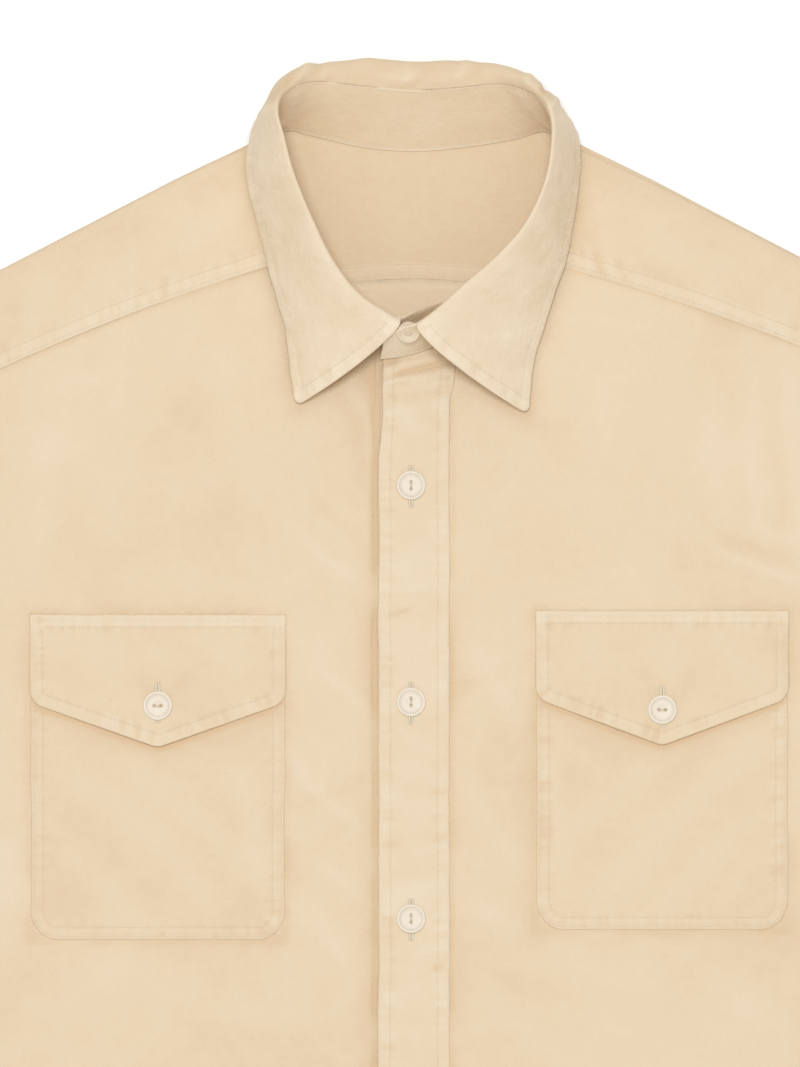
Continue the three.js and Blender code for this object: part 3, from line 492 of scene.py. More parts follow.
def spline(points):
    """Curve through points at even shares, the same as the one the solids follow."""
    points = np.asarray(points, float)
    count = len(points)
    first = 2 * points[0] - points[1]
    last = 2 * points[-1] - points[-2]
    full = np.vstack([first, points, last])

    def at(share):
        place = (count - 1) * np.asarray(share, float)
        i = np.clip(np.floor(place).astype(int), 0, count - 2)
        t = (place - i)[..., None]
        p0, p1, p2, p3 = full[i], full[i + 1], full[i + 2], full[i + 3]
        d0, d1, d2 = (
            np.sqrt(np.linalg.norm(b - a, axis=-1, keepdims=True))
            for a, b in ((p0, p1), (p1, p2), (p2, p3))
        )
        t1 = ((p1 - p0) / d0 - (p2 - p0) / (d0 + d1) + (p2 - p1) / d1) * d1
        t2 = ((p2 - p1) / d1 - (p3 - p1) / (d1 + d2) + (p3 - p2) / d2) * d1
        c2 = -3 * p1 + 3 * p2 - 2 * t1 - t2
        c3 = 2 * p1 - 2 * p2 + t1 + t2
        return p1 + t1 * t + c2 * t**2 + c3 * t**3

    return at


# Outline of the body

SHOULDER_TIP = (SHOULDER_HALF, SHOULDER_Y0 - SHOULDER_SLOPE * SHOULDER_HALF)
UNDERARM = (CHEST_HALF, UNDERARM_Y)


def armhole(t, sign=1):
    p = bezier(SHOULDER_TIP, *ARMHOLE_BOW, UNDERARM, clamp01(t))
    return p * (sign, 1)


def hem_y(x):
    return HEM_Y + HEM_RISE * (np.abs(x) / HEM_HALF) ** 3


def side_x(y):
    return mix(HEM_HALF, CHEST_HALF, clamp01((y - HEM_Y) / (UNDERARM_Y - HEM_Y)))


def front_seam_y(x):
    out = np.abs(x) - YOKE_NECK_X
    slope = np.where(np.asarray(x) < 0, YOKE_SLOPE["right"], YOKE_SLOPE["left"])
    return YOKE_NECK_Y - slope * out - YOKE_BEND * out * np.abs(out)


def back_seam_y(x):
    return YOKE_BACK_Y - YOKE_BACK_DROP * (np.abs(x) / SHOULDER_HALF) ** 1.8


def meets(seam, sign):
    """Share of the armhole, from the tip, at which a seam meets it."""
    low, high = 0.0, 1.0
    for _ in range(40):
        middle = (low + high) / 2
        p = armhole(middle, sign)
        if p[1] > seam(p[0]):
            low = middle
        else:
            high = middle
    return low


def front_under(x, y, over):
    """Underside of the fronts over the floor; over is 1 where the wearer's left front laps over."""
    side = smooth(0, SIDE_FALL, side_x(y) - np.abs(x))
    hem = smooth(0, SIDE_FALL, y - hem_y(x))
    shoulder = smooth(0, SIDE_FALL, SHOULDER_Y0 - SHOULDER_SLOPE * np.abs(x) - y)
    rim = side * mix(0.35, 1, hem) * shoulder
    reach = np.hypot(x - NECK_LIFT["x"], y - NECK_LIFT["y"]) / NECK_LIFT["spread"]
    lap = over * (LAYER + 0.15) * (1 - smooth(UNDERLAP + 16, UNDERLAP + 50, x))
    soft = BODY_LOFT + ridges(FOLDS, x, y)
    return LAYER + GAP + rim * soft + NECK_LIFT["height"] * bell(reach) + lap


# Collar lines

STAND_LAST = len(COLLAR) - 1
LEAF_ROWS = [i for i, row in enumerate(COLLAR) if row[4] is not None]
LEAF_FIRST = LEAF_ROWS[0]
LEAF_LAST = LEAF_ROWS[-1]
LEAF_SPAN = LEAF_LAST - LEAF_FIRST
neck_line = spline([(row[0], row[1], row[6]) for row in COLLAR])
top_line = spline([(row[2], row[3], row[6]) for row in COLLAR])
edge_line = spline([(COLLAR[i][4], COLLAR[i][5], COLLAR[i][6]) for i in LEAF_ROWS])


def collar_section(row):
    """Neck point, top point and tuck of the collar at each row number."""
    row = np.atleast_1d(np.asarray(row, float))
    share = row / STAND_LAST
    neck, top = neck_line(share), top_line(share)
    tuck = clamp01(neck[:, 2])
    over = (row > STAND_LAST / 2).astype(float)
    x, y = neck[:, 0], neck[:, 1]
    front = front_under(x, y, over) + CLOTH + LAYER * smooth(-14, 4, y - front_seam_y(x))
    band = (BAND + GAP) * over * (1 - smooth(BAND_RIGHT - 4, BAND_RIGHT + 12, x))
    neck[:, 2] = mix(front + band + GAP, CLOTH, clamp01(tuck * 1.15))
    ends = np.abs(2 * share - 1) ** 3
    rounded = bell(row / 0.8) + bell((STAND_LAST - row) / 0.8)
    height = mix(STAND_BACK, STAND_FRONT, ends) - STAND_ROUND * rounded
    reach = np.hypot(top[:, 0] - x, top[:, 1] - y)
    top[:, 2] = neck[:, 2] + np.sqrt(np.maximum(0, height**2 - reach**2))
    return neck, top, tuck


def neck_edge(row):
    """Neckline of the body at each row number, in plan."""
    neck, top, _ = collar_section(row)
    away = unit((neck - top)[:, :2])
    return neck[:, :2] - away * NECK_TUCK


def rest_height(x, y, tuck):
    """Height at which the leaf's edge rests, on the fronts or on the floor behind the neck."""
    below = SHOULDER_Y0 - SHOULDER_SLOPE * np.abs(x) - y
    cloth = front_under(x, y, (x > 0).astype(float)) + LAYER + CLOTH + GAP + BAND / 2 + 0.5
    covered = smooth(-11, 1, below) * (1 - smooth(0.4, 0.75, tuck))
    return mix(BAND / 2 + 0.1, cloth, covered)


def leaf_surface(rows, shares):
    """Middle surface of the leaf: one line of points for each row number."""
    neck, top, tuck = collar_section(rows)
    near = 0.05
    ahead = top_line(np.minimum(1, (rows + near) / STAND_LAST))
    behind = top_line(np.maximum(0, (rows - near) / STAND_LAST))
    step = ahead - behind
    outward = unit(np.stack([-step[:, 1], step[:, 0], np.zeros(len(rows))], axis=-1))
    edge = edge_line(clamp01((rows - LEAF_FIRST) / LEAF_SPAN))
    wavy = smooth(0, 0.6, rows - LEAF_FIRST) * smooth(0, 0.6, LEAF_LAST - rows)
    edge[:, 0] += wavy * (0.45 * waves(rows, 0.8, 121) + 0.22 * waves(rows, 0.3, 122))
    edge[:, 2] = rest_height(edge[:, 0], edge[:, 1], tuck)
    up = unit(top - neck)
    start = top - up * LEAF_TUCK
    loose = 1 - COLLAR_TIGHT * tuck * smooth(18, 52, np.abs(top[:, 0]))
    roll = mix(COLLAR_ROLL["front"], COLLAR_ROLL["back"], tuck) * loose
    rise = start + up * roll[:, None]
    draped = mix(edge, start, 0.36)
    draped[:, 2] = mix(edge[:, 2], start[:, 2], 0.6)
    back_reach = COLLAR_TURN * loose + BACK_FULLNESS * bell(start[:, 0] / 42)
    folded = start + outward * back_reach[:, None]
    folded[:, 2] = edge[:, 2]
    fall = mix(draped, folded, tuck[:, None])
    from_end = np.minimum(rows - LEAF_FIRST, LEAF_LAST - rows)
    side = np.sign(start[:, 0] - edge[:, 0])
    run = np.abs(start[:, 0] - edge[:, 0])
    bow = np.stack([(start[:, 1] - edge[:, 1]) * side, -run, np.zeros(len(rows))], axis=-1)
    bow = unit(bow) * bell(from_end / 0.9)[:, None]
    rise = rise + bow * POINT_BOW["top"]
    fall = fall + bow * POINT_BOW["low"]
    return np.swapaxes(bezier(start, rise, fall, edge, shares), 0, 1)


LEAF_ENDS = leaf_surface(np.array([LEAF_FIRST, LEAF_LAST], float), np.linspace(0.3, 1, 20))
LEAF_EDGE = leaf_surface(np.linspace(LEAF_FIRST, LEAF_LAST, 260), np.array([0.99, 1.0]))[:, 1]
LEAF_OUTLINE = np.concatenate([LEAF_ENDS[0], LEAF_EDGE, LEAF_ENDS[1][::-1]])[:, :2]

# Grids and their edges


def places(length, step, rim=True):
    """Distances from one edge of a piece to the other, closer together where the cloth turns under."""
    if not rim:
        return np.linspace(0, length, max(2, int(round(length / step)) + 1))
    close = np.array([0, 0.12, 0.3, 0.55, 0.9, 1.4])
    count = max(2, int(round((length - 2 * close[-1]) / step)) + 1)
    middle = np.linspace(close[-1], length - close[-1], count)
    return np.concatenate([close[:-1], middle, (length - close[:-1])[::-1]])

def joined(*stretches):
    """Even places over stretches that follow each other, each given as start, end and count."""
    parts = [np.linspace(*stretch) for stretch in stretches]
    return np.concatenate([part[:-1] for part in parts[:-1]] + parts[-1:])


def run_of(line):
    """Distance along a line to each of its points."""
    return np.concatenate([[0], np.cumsum(np.linalg.norm(np.diff(line, axis=0), axis=1))])


def coons(bottom, top, left, right, u, v):
    """Patch between four edges sampled at u and v, in plan."""
    u_, v_ = u[None, :, None], v[:, None, None]
    ruled_v = mix(bottom[None], top[None], v_)
    ruled_u = mix(left[:, None], right[:, None], u_)
    low = mix(left[0], right[0], u_)
    high = mix(left[-1], right[-1], u_)
    return ruled_v + ruled_u - mix(low, high, v_)


def grid_normals(grid):
    along = np.gradient(grid, axis=0)
    across = np.gradient(grid, axis=1)
    return unit(np.cross(along, across))


def from_line(points, line, chunk=4000):
    """Distance from each point to a line, and the place along it that is nearest."""
    flat = points.reshape(-1, points.shape[-1])
    line = np.asarray(line, float)
    steps = np.linalg.norm(np.diff(line, axis=0), axis=1)
    start = np.concatenate([[0], np.cumsum(steps)])
    far = np.empty(len(flat))
    place = np.empty(len(flat))
    for i in range(0, len(flat), chunk):
        part = flat[i : i + chunk]
        near = ((part[:, None] - line[None]) ** 2).sum(-1).argmin(1)
        best = np.full(len(part), 1e9)
        where = np.zeros(len(part))
        for shift in (-1, 0):
            a = np.clip(near + shift, 0, len(line) - 2)
            run = line[a + 1] - line[a]
            long = np.maximum((run**2).sum(-1), 1e-12)
            t = clamp01(((part - line[a]) * run).sum(-1) / long)
            gap = np.linalg.norm(part - (line[a] + run * t[:, None]), axis=1)
            closer = gap < best
            best = np.where(closer, gap, best)
            where = np.where(closer, start[a] + t * steps[a], where)
        far[i : i + chunk] = best
        place[i : i + chunk] = where
    shape = points.shape[:-1]
    return far.reshape(shape), place.reshape(shape)


def turned(distance, thick, radius=TURN):
    """How far a folded edge falls away, at a distance from it."""
    t = clamp01(1 - distance / radius)
    return thick * (1 - np.sqrt(1 - t * t))


def sewn(distance, place, seed, row=TOPSTITCH, depth=0.12, pucker=0.34, swell=0.12, reach=4.0):
    """Relief beside a stitched edge: the swell of its turnings, the sunk row, and the puckers."""
    groove = -depth * bell((distance - row) / 0.75)
    hump = swell * smooth(0, 1.2, distance) * (1 - smooth(row - 1.2, row + 0.4, distance))
    near = smooth(-0.3, 2.2, distance) * (1 - smooth(row, row + reach, distance))
    gather = waves(place, 1.9, seed) + 0.8 * waves(place + distance * 0.4, 3.7, seed + 1)
    strength = 0.65 + 0.5 * waves(place, 31, seed + 2)
    return groove + hump + pucker * near * gather * strength


def offset_line(grid, field, level, axis, keep=None):
    """Points of a grid where a distance field reaches a level, one for each grid line."""
    if axis == 1:
        grid, field = np.swapaxes(grid, 0, 1), field.T
        keep = None if keep is None else keep.T
    line, ups = [], []
    normals = grid_normals(grid)
    if axis == 1:
        normals = -normals
    for j in range(grid.shape[1]):
        column = field[:, j]
        cross = np.nonzero((column[:-1] - level) * (column[1:] - level) <= 0)[0]
        if len(cross) == 0:
            continue
        i = cross[0]
        t = (level - column[i]) / (column[i + 1] - column[i] or 1e-9)
        if keep is not None and not keep[i, j]:
            continue
        line.append(mix(grid[i, j], grid[i + 1, j], t))
        ups.append(mix(normals[i, j], normals[i + 1, j], t))
    return np.array(line), np.array(ups)


# Meshes

BACKWARDS = [0, 3, 2, 1]  # the order of a four-sided face's corners that turns it over


def make_mesh(name, points, faces, material, uv=None, tone=None):
    mesh = bpy.data.meshes.new(name)
    mesh.from_pydata((np.asarray(points) * MM).tolist(), [], faces)
    if uv is not None:
        layer = mesh.uv_layers.new(name="UVMap")
        corners = np.empty(len(mesh.loops), dtype=np.int32)
        mesh.loops.foreach_get("vertex_index", corners)
        layer.data.foreach_set("uv", (np.asarray(uv)[corners] * MM).astype(np.float32).ravel())
    if tone is not None:
        attribute = mesh.attributes.new("tone", "FLOAT", "POINT")
        attribute.data.foreach_set("value", np.asarray(tone, dtype=np.float32))
    mesh.polygons.foreach_set("use_smooth", [True] * len(mesh.polygons))
    mesh.materials.append(material)
    mesh.update()
    mesh.validate()
    piece = bpy.data.objects.new(name, mesh)
    bpy.context.scene.collection.objects.link(piece)
    return piece


def picked(count, every):
    return np.unique(np.append(np.arange(0, count, every), count - 1))


def quads(ids):
    """Four-sided faces over a grid of vertex numbers."""
    return np.stack([ids[:-1, :-1], ids[:-1, 1:], ids[1:, 1:], ids[1:, :-1]], axis=-1).reshape(-1, 4)


def edge_strip(fine, coarse, marks):
    """Triangles from a coarse edge to a fine one; marks are the fine corners that the coarse one meets."""
    fine, coarse = fine.tolist(), coarse.tolist()
    faces = []
    for k in range(len(marks) - 1):
        faces.append([coarse[k], coarse[k + 1], fine[marks[k + 1]]])
        for m in range(marks[k + 1], marks[k], -1):
            faces.append([coarse[k], fine[m], fine[m - 1]])
    return faces


def shell(name, top, under, uv, tone, material, every=4):
    """Closed thin shell: the fine outer face, a coarser inner face, and the strips that join them."""
    rows, cols = top.shape[:2]
    ri, ci = picked(rows, every), picked(cols, every)
    coarse = np.ix_(ri, ci)
    high = np.arange(rows * cols).reshape(rows, cols)
    low = high.size + np.arange(len(ri) * len(ci)).reshape(len(ri), len(ci))
    faces = quads(high).tolist() + quads(low)[:, BACKWARDS].tolist()
    faces += edge_strip(high[0], low[0], ci)
    faces += edge_strip(high[:, -1], low[:, -1], ri)
    faces += edge_strip(high[-1, ::-1], low[-1, ::-1], cols - 1 - ci[::-1])
    faces += edge_strip(high[::-1, 0], low[::-1, 0], rows - 1 - ri[::-1])
    middle = (rows // 2, cols // 2)
    if np.dot(grid_normals(top)[middle], (top - under)[middle]) > 0:
        faces = [face[::-1] for face in faces]
    points, uvs, tones = (
        np.concatenate([outer.reshape(high.size, -1), inner[coarse].reshape(low.size, -1)])
        for outer, inner in ((top, under), (uv, uv), (tone, tone))
    )
    return make_mesh(name, points, faces, material, uvs, tones.ravel())


def tube(name, outer, inner, uv, tone, material):
    """Closed wall round a flattened tube; the last column joins the first."""
    rows, cols = outer.shape[:2]
    count = rows * cols
    ids = np.arange(count).reshape(rows, cols)
    right = np.roll(ids, -1, axis=1)
    wall = np.stack([ids[:-1], right[:-1], right[1:], ids[1:]], axis=-1).reshape(-1, 4)
    first = np.stack([ids[0], ids[0] + count, right[0] + count, right[0]], axis=-1)
    last = np.stack([ids[-1], right[-1], right[-1] + count, ids[-1] + count], axis=-1)
    faces = np.concatenate([wall, wall[:, BACKWARDS] + count, first, last])
    i, j = rows // 2, cols // 4
    facing = np.cross(outer[i, j + 1] - outer[i, j], outer[i + 1, j] - outer[i, j])
    if np.dot(facing, outer[i, j] - inner[i, j]) < 0:
        faces = faces[:, ::-1]
    points = np.concatenate([outer.reshape(-1, 3), inner.reshape(-1, 3)])
    uvs = np.concatenate([uv.reshape(-1, 2)] * 2)
    return make_mesh(name, points, faces.tolist(), material, uvs, np.tile(tone.ravel(), 2))


# Stitches: one is modelled, and every row is made of copies


def nothing_selected():
    if bpy.context.object and bpy.context.object.mode != "OBJECT":
        bpy.ops.object.mode_set(mode="OBJECT")
    bpy.ops.object.select_all(action="DESELECT")


def one_stitch():
    nothing_selected()
    bpy.ops.mesh.primitive_ico_sphere_add(subdivisions=1, radius=0.5)
    made = bpy.context.object
    bpy.ops.object.mode_set(mode="EDIT")
    bpy.ops.mesh.select_all(action="SELECT")
    bpy.ops.transform.resize(value=(1.1, 1, 0.8))
    bpy.ops.object.mode_set(mode="OBJECT")
    points = np.array([tuple(v.co) for v in made.data.vertices])
    faces = np.array([tuple(p.vertices) for p in made.data.polygons])
    bpy.data.objects.remove(made)
    return points, faces


STITCH_POINTS, STITCH_FACES = one_stitch()
UP = np.array((0.0, 0.0, 1.0))


def resample(line, ups, step):
    """Places at even steps along a line, with the directions along it and out of the cloth."""
    start = run_of(line)
    count = max(1, int(start[-1] / step))
    middles = (np.arange(count) + 0.5) * start[-1] / count

    def at(spots, values):
        return np.stack([np.interp(spots, start, values[:, k]) for k in range(3)], axis=-1)

    along = at(middles + 0.4, line) - at(middles - 0.4, line)
    return at(middles, line), unit(along), unit(at(middles, ups))


class Sewing:
    """Collects the stitches of one piece and makes them one mesh."""

    def __init__(self, name):
        self.name = name
        self.points = []

    def place(self, centres, along, ups, length, width, height):
        """Stitches at their centres, each with its direction along the seam and out of the cloth."""
        across = unit(np.cross(ups, along))
        ups = np.cross(along, across)
        p = STITCH_POINTS
        for c, a, s, u in zip(centres, along, across, ups):
            self.points.append(c + p[:, :1] * a * length + p[:, 1:2] * s * width + p[:, 2:3] * u * height)

    def row(self, line, ups, step=STITCH_STEP, length=1.45, width=0.52, height=0.42, lift=0.09):
        if len(line) < 3:
            return
        centres, along, ups = resample(np.asarray(line), np.asarray(ups), step)
        self.place(centres + ups * lift, along, ups, length, width, height)

    def row_on(self, face, field, level, axis=0, keep=None):
        """Row on a face that looks up, whichever way its grid runs, at one level of a distance field."""
        line, ups = offset_line(face, field, level, axis, keep)
        self.row(line, np.abs(ups))

    def row_round(self, face, middle, field, level, axis=0, keep=None):
        """Row on a face that curls, standing out from the middle surface of its cloth."""
        line, _ = offset_line(face, field, level, axis, keep)
        self.row(line, outward_at(line, face, middle))

    def rows_down_sides(self, face, field, level, keep):
        """Row down each side of a piece, each found from the edge on its own half."""
        half = np.arange(face.shape[1])[None] < face.shape[1] // 2
        for way in (1, -1):
            near = np.where(half, field[:, ::way], NO_EDGE)
            self.row_on(face[:, ::way], near, level, 1, keep[:, ::way] & half)

    def buttonhole(self, centre, along, length, surface):
        """Satin stitches round a slit; surface gives the height of the cloth at a place."""
        along = unit(np.array(along, float))
        across = unit(np.cross(UP, along))

        def satin(spots, lie, width, height):
            spots[:, 2] = surface(spots[:, 0], spots[:, 1]) + 0.2
            each = np.ones((len(spots), 1))
            self.place(spots, each * lie, each * UP, 1.5, width, height)

        count = int(length / SATIN_STEP)
        shares = (np.arange(count) + 0.5) / count - 0.5
        for side in (-1, 1):
            satin(centre + np.outer(shares * (length - 2.6), along) + side * 0.72 * across, across, 0.85, 0.5)
        for end in (-1, 1):
            bar = np.outer((-1.2, -0.6, 0, 0.6, 1.2), across)
            satin(centre + end * (length / 2 - 0.75) * along + bar, along, 0.7, 0.7)

    def finish(self):
        points = np.concatenate(self.points)
        shift = np.arange(len(self.points))[:, None, None] * len(STITCH_POINTS)
        faces = (STITCH_FACES[None] + shift).reshape(-1, STITCH_FACES.shape[1])
        settle(make_mesh(self.name, points, faces.tolist(), THREAD))


# Materials


class Value:
    """The output of a node; an expression on values adds its Math nodes."""

    def __init__(self, tree, socket):
        self.tree = tree
        self.socket = socket

    def maths(self, operation, *terms):
        node = self.tree.nodes.new("ShaderNodeMath")
        node.operation = operation
        for slot, term in zip(node.inputs, terms):
            if isinstance(term, Value):
                self.tree.links.new(term.socket, slot)
            else:
                slot.default_value = term
        return Value(self.tree, node.outputs[0])

    def __add__(self, other):
        return self.maths("ADD", self, other)

    __radd__ = __add__

    def __sub__(self, other):
        return self.maths("SUBTRACT", self, other)

    def __rsub__(self, other):
        return self.maths("SUBTRACT", other, self)

    def __mul__(self, other):
        return self.maths("MULTIPLY", self, other)

    def over(self, least):
        return self.maths("MAXIMUM", self, least)


class Finish:
    """A material and the nodes it is made of."""

    def __init__(self, name):
        self.material = bpy.data.materials.new(name)
        self.material.use_nodes = True
        self.tree = self.material.node_tree
        self.shader = self.tree.nodes["Principled BSDF"]

    def node(self, kind, settings=None, sockets=None, output=0):
        made = self.tree.nodes.new(kind)
        for key, value in (settings or {}).items():
            setattr(made, key, value)
        self.put(made, sockets or {})
        return Value(self.tree, made.outputs[output])

    def put(self, node, sockets):
        """Links each value to its socket, or sets the socket where the value is a constant."""
        for key, value in sockets.items():
            if isinstance(value, Value):
                self.tree.links.new(value.socket, node.inputs[key])
            else:
                node.inputs[key].default_value = value

    def shaded(self, sockets):
        self.put(self.shader, sockets)
        return self.material

    def place(self):
        return self.node("ShaderNodeTexCoord", output="Object")

    def noise(self, where, scale, detail=2.0, rough=0.5):
        sockets = {"Vector": where, "Scale": scale, "Detail": detail, "Roughness": rough}
        return self.node("ShaderNodeTexNoise", sockets=sockets)

    def stretched(self, where, scale):
        return self.node("ShaderNodeVectorMath", {"operation": "MULTIPLY"}, {0: where, 1: scale})

    def blend(self, share, first, second):
        sockets = {"Factor": share, "A": first, "B": second}
        return self.node("ShaderNodeMix", {"data_type": "RGBA"}, sockets, "Result")

    def bump(self, height, distance, strength, below=None):
        sockets = {"Height": height, "Distance": distance, "Strength": strength}
        if below is not None:
            sockets["Normal"] = below
        return self.node("ShaderNodeBump", sockets=sockets)


def cotton(name, colour, pale, deep):
    """Washed plain-weave cotton: uneven threads both ways, faint clouds of dye, paler seam edges, and the
    painted light and painted shade that each piece carries in its tone.
    """
    finish = Finish(name)
    on_cloth = finish.node("ShaderNodeUVMap", {"uv_map": "UVMap"})
    place = finish.place()
    warp = finish.noise(finish.stretched(on_cloth, (1700, 260, 1)), 1.0)
    weft = finish.noise(finish.stretched(on_cloth, (260, 1700, 1)), 1.0)
    nap = finish.noise(place, 900.0, 3.0, 0.6)
    puckers = finish.noise(place, 190.0, 3.0, 0.55)
    flecks = finish.noise(place, 130.0, 3.0, 0.65)
    clouds = finish.noise(place, 34.0, 3.0, 0.6)
    drifts = finish.noise(place, 9.0, 2.0, 0.5)
    tone = finish.node("ShaderNodeAttribute", {"attribute_name": "tone"}, output="Fac")
    threads = warp + weft - 1.0
    uneven = (clouds - 0.5) * 0.3 + (drifts - 0.5) * 0.15 + threads * 0.2
    shade = tone + uneven + (flecks - 0.5) * 0.4 + (puckers - 0.5) * 0.3
    # Towards the pale colour: rubbed seam edges, painted highlights and painted light; towards the deep
    # colour: deeper dye and painted shade.
    pale_wear_and_painted_light = finish.blend(shade.over(0.0), colour, pale)
    soft = finish.bump(puckers + flecks * 1.2, 0.0008, 0.55)
    return finish.shaded({
        "Base Color": finish.blend((0.0 - shade).over(0.0), pale_wear_and_painted_light, deep),
        "Roughness": 0.9,
        "Sheen Weight": 0.12,
        "Sheen Roughness": 0.6,
        "Specular IOR Level": 0.2,
        "Normal": finish.bump(threads + (nap - 0.5) * 0.8, 0.00022, 0.6, soft),
    })


def thread_finish(name, colour):
    """Sewing thread, a little darker in fine random flecks."""
    finish = Finish(name)
    deep = tuple(0.9 * c for c in colour[:3]) + (1,)
    twist = finish.noise(finish.place(), 1500.0, 2.0)
    colours = finish.blend(twist, colour, deep)
    return finish.shaded({"Base Color": colours, "Roughness": 0.7, "Specular IOR Level": 0.3})


def button_finish(name, colour, deep):
    """Clouded shell with a soft shine."""
    finish = Finish(name)
    place = finish.place()
    cloud = finish.noise(place, 260.0, 3.0, 0.6)
    return finish.shaded({
        "Base Color": finish.blend(cloud, deep, colour),
        "Roughness": 0.5 + (finish.noise(place, 900.0) - 0.5) * 0.2,
        "Specular IOR Level": 0.3,
        "Coat Weight": 0.08,
        "Coat Roughness": 0.35,
        "Normal": finish.bump(cloud, 0.0002, 0.25),
    })


COTTON = (0.75, 0.605, 0.425, 1)
# Warm deep colour that deeper dye and painted shade blend towards.
COTTON_DEEP = (0.685, 0.505, 0.32, 1)
SHIRTING = cotton("shirting", COTTON, (0.79, 0.665, 0.50, 1), COTTON_DEEP)
# The collar's cotton has a paler pale colour, so that its tone can paint light on the leaf and on the stand's
# front end.
COLLAR_SHIRTING_PAINTED_LIGHT = cotton("collar_shirting_painted_light", COTTON, (0.85, 0.725, 0.555, 1), COTTON_DEEP)
THREAD = thread_finish("sewing_thread", (0.82, 0.71, 0.55, 1))
SHELL = button_finish("button_shell", (0.80, 0.725, 0.61, 1), (0.71, 0.625, 0.50, 1))
# A darker copy of the shell: painted shade for the collar button, which lies in the collar's shadow.
SHADED_SHELL = button_finish("shaded_button_shell", (0.77, 0.66, 0.50, 1), (0.72, 0.60, 0.44, 1))


def settle(piece, *nodes, slot="shirting"):
    """Gives a piece its body and hides the solids that it takes the place of; slot is not used."""
    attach(piece, "root")
    if nodes:
        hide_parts(*nodes)
    return piece


# The fronts


def front_relief(x, y):
    """Height of the fronts' creases over their solid, with the puckers below the yoke seam."""
    below = front_seam_y(x) - y
    gather = waves(x + 0.15 * y, 4.2, 11) + 0.7 * waves(x - 0.1 * y, 8.3, 12)
    pulled = 0.13 * gather * smooth(-1, 1.5, below) * np.exp(-np.maximum(below, 0) / 13)
    tuck = -0.25 * bell(below / 1.6)
    inside = smooth(0, 12, side_x(y) - np.abs(x))
    return inside * (crumple(x, y, 5) + ridges(FRONT_CREASES, x, y, 5)) + pulled + tuck - beside(x, y)


def beside(x, y):
    """Depth of the hollows where the fronts dip beside the band and the pockets."""
    uneven = 0.75 + 0.45 * waves(y, 17, 61)
    from_left = BAND_LEFT - x
    from_right = x - BAND_RIGHT
    left = (bell((from_left - 1) / 2.2) + 0.4 * bell((from_left - 4) / 7)) * (from_left > -4)
    right = (bell((from_right - 0.8) / 1.6) + 0.3 * bell((from_right - 3) / 6)) * (from_right > -4)
    dip = (1.0 * left * (1 + 0.5 * smooth(130, 190, y)) + 0.55 * right) * uneven
    for row in POCKETS.values():
        out = np.abs(x - row["x"]) - row["width"] / 2
        over = y - row["top"]
        below = row["bottom"] - y
        far = np.hypot(np.maximum(out, 0), np.maximum(np.maximum(over, below), 0))
        inner = np.maximum(np.maximum(out, over), below)
        far = np.where(inner < 0, -inner, far)
        near = 0.45 * bell((far - 1) / 1.8) + 0.2 * bell((far - 3) / 6)
        dip = dip + near * (0.75 + 0.5 * waves(x + y, 19, 62)) * (inner > -3)
    return dip


def near_collar(plan):
    """How much deeper the tone is close to the collar's edges, where its shadow lies."""
    far, place = from_line(plan, LEAF_OUTLINE)
    return (0.5 * bell(far / 3.2) + 0.4 * bell(far / 9)) * (0.85 + 0.3 * waves(place, 26, 63))


def front_top(x, y, over):
    """Height of the fronts' upper face; over is 1 on the wearer's left front."""
    return front_under(x, y, over) + CLOTH + front_relief(x, y)


def side_line(v, seam_share, sign=1):
    """Side edge of a panel in plan: the side seam up to the underarm, then the armhole to the yoke."""
    line = np.empty((len(v), 2))
    low = v <= SIDE_SHARE
    t = v[low] / SIDE_SHARE
    line[low] = np.stack([sign * mix(HEM_HALF, CHEST_HALF, t), mix(hem_y(HEM_HALF), UNDERARM_Y, t)], axis=-1)
    t = (v[~low] - SIDE_SHARE) / (1 - SIDE_SHARE)
    line[~low] = armhole(mix(1, seam_share, t), sign)
    return line


def front_plan(sign, u, v):
    """Floor plan of a front: u runs from the centre to the side, v from the hem to the yoke."""
    left = sign > 0
    inner = BAND_LEFT + 1 if left else UNDERLAP
    neck_start = LEFT_FRONT_ROW if left else RIGHT_FRONT_ROW
    neck_end = LEFT_SEAM_ROW - 0.4 if left else RIGHT_SEAM_ROW + 0.4
    seam_share = meets(lambda x: front_seam_y(x) + YOKE_LAP, sign)
    bottom_x = mix(inner, sign * HEM_HALF, u)
    bottom = np.stack([bottom_x, hem_y(bottom_x)], axis=-1)
    top = np.empty((len(u), 2))
    on_neck = u < NECK_SHARE
    top[on_neck] = neck_edge(mix(neck_start, neck_end, u[on_neck] / NECK_SHARE))
    t = (u[~on_neck] - NECK_SHARE) / (1 - NECK_SHARE)
    corner = neck_edge(neck_end)[0]
    x = mix(corner[0], armhole(seam_share, sign)[0], t)
    top[~on_neck] = np.stack([x, mix(corner[1], front_seam_y(x) + YOKE_LAP, smooth(0, 0.12, t))], axis=-1)
    centre_x = mix(inner, top[0, 0], smooth(0.8, 1, v))
    centre = np.stack([centre_x, mix(hem_y(inner), top[0, 1], v)], axis=-1)
    return coons(bottom, top, centre, side_line(v, seam_share, sign), u, v)


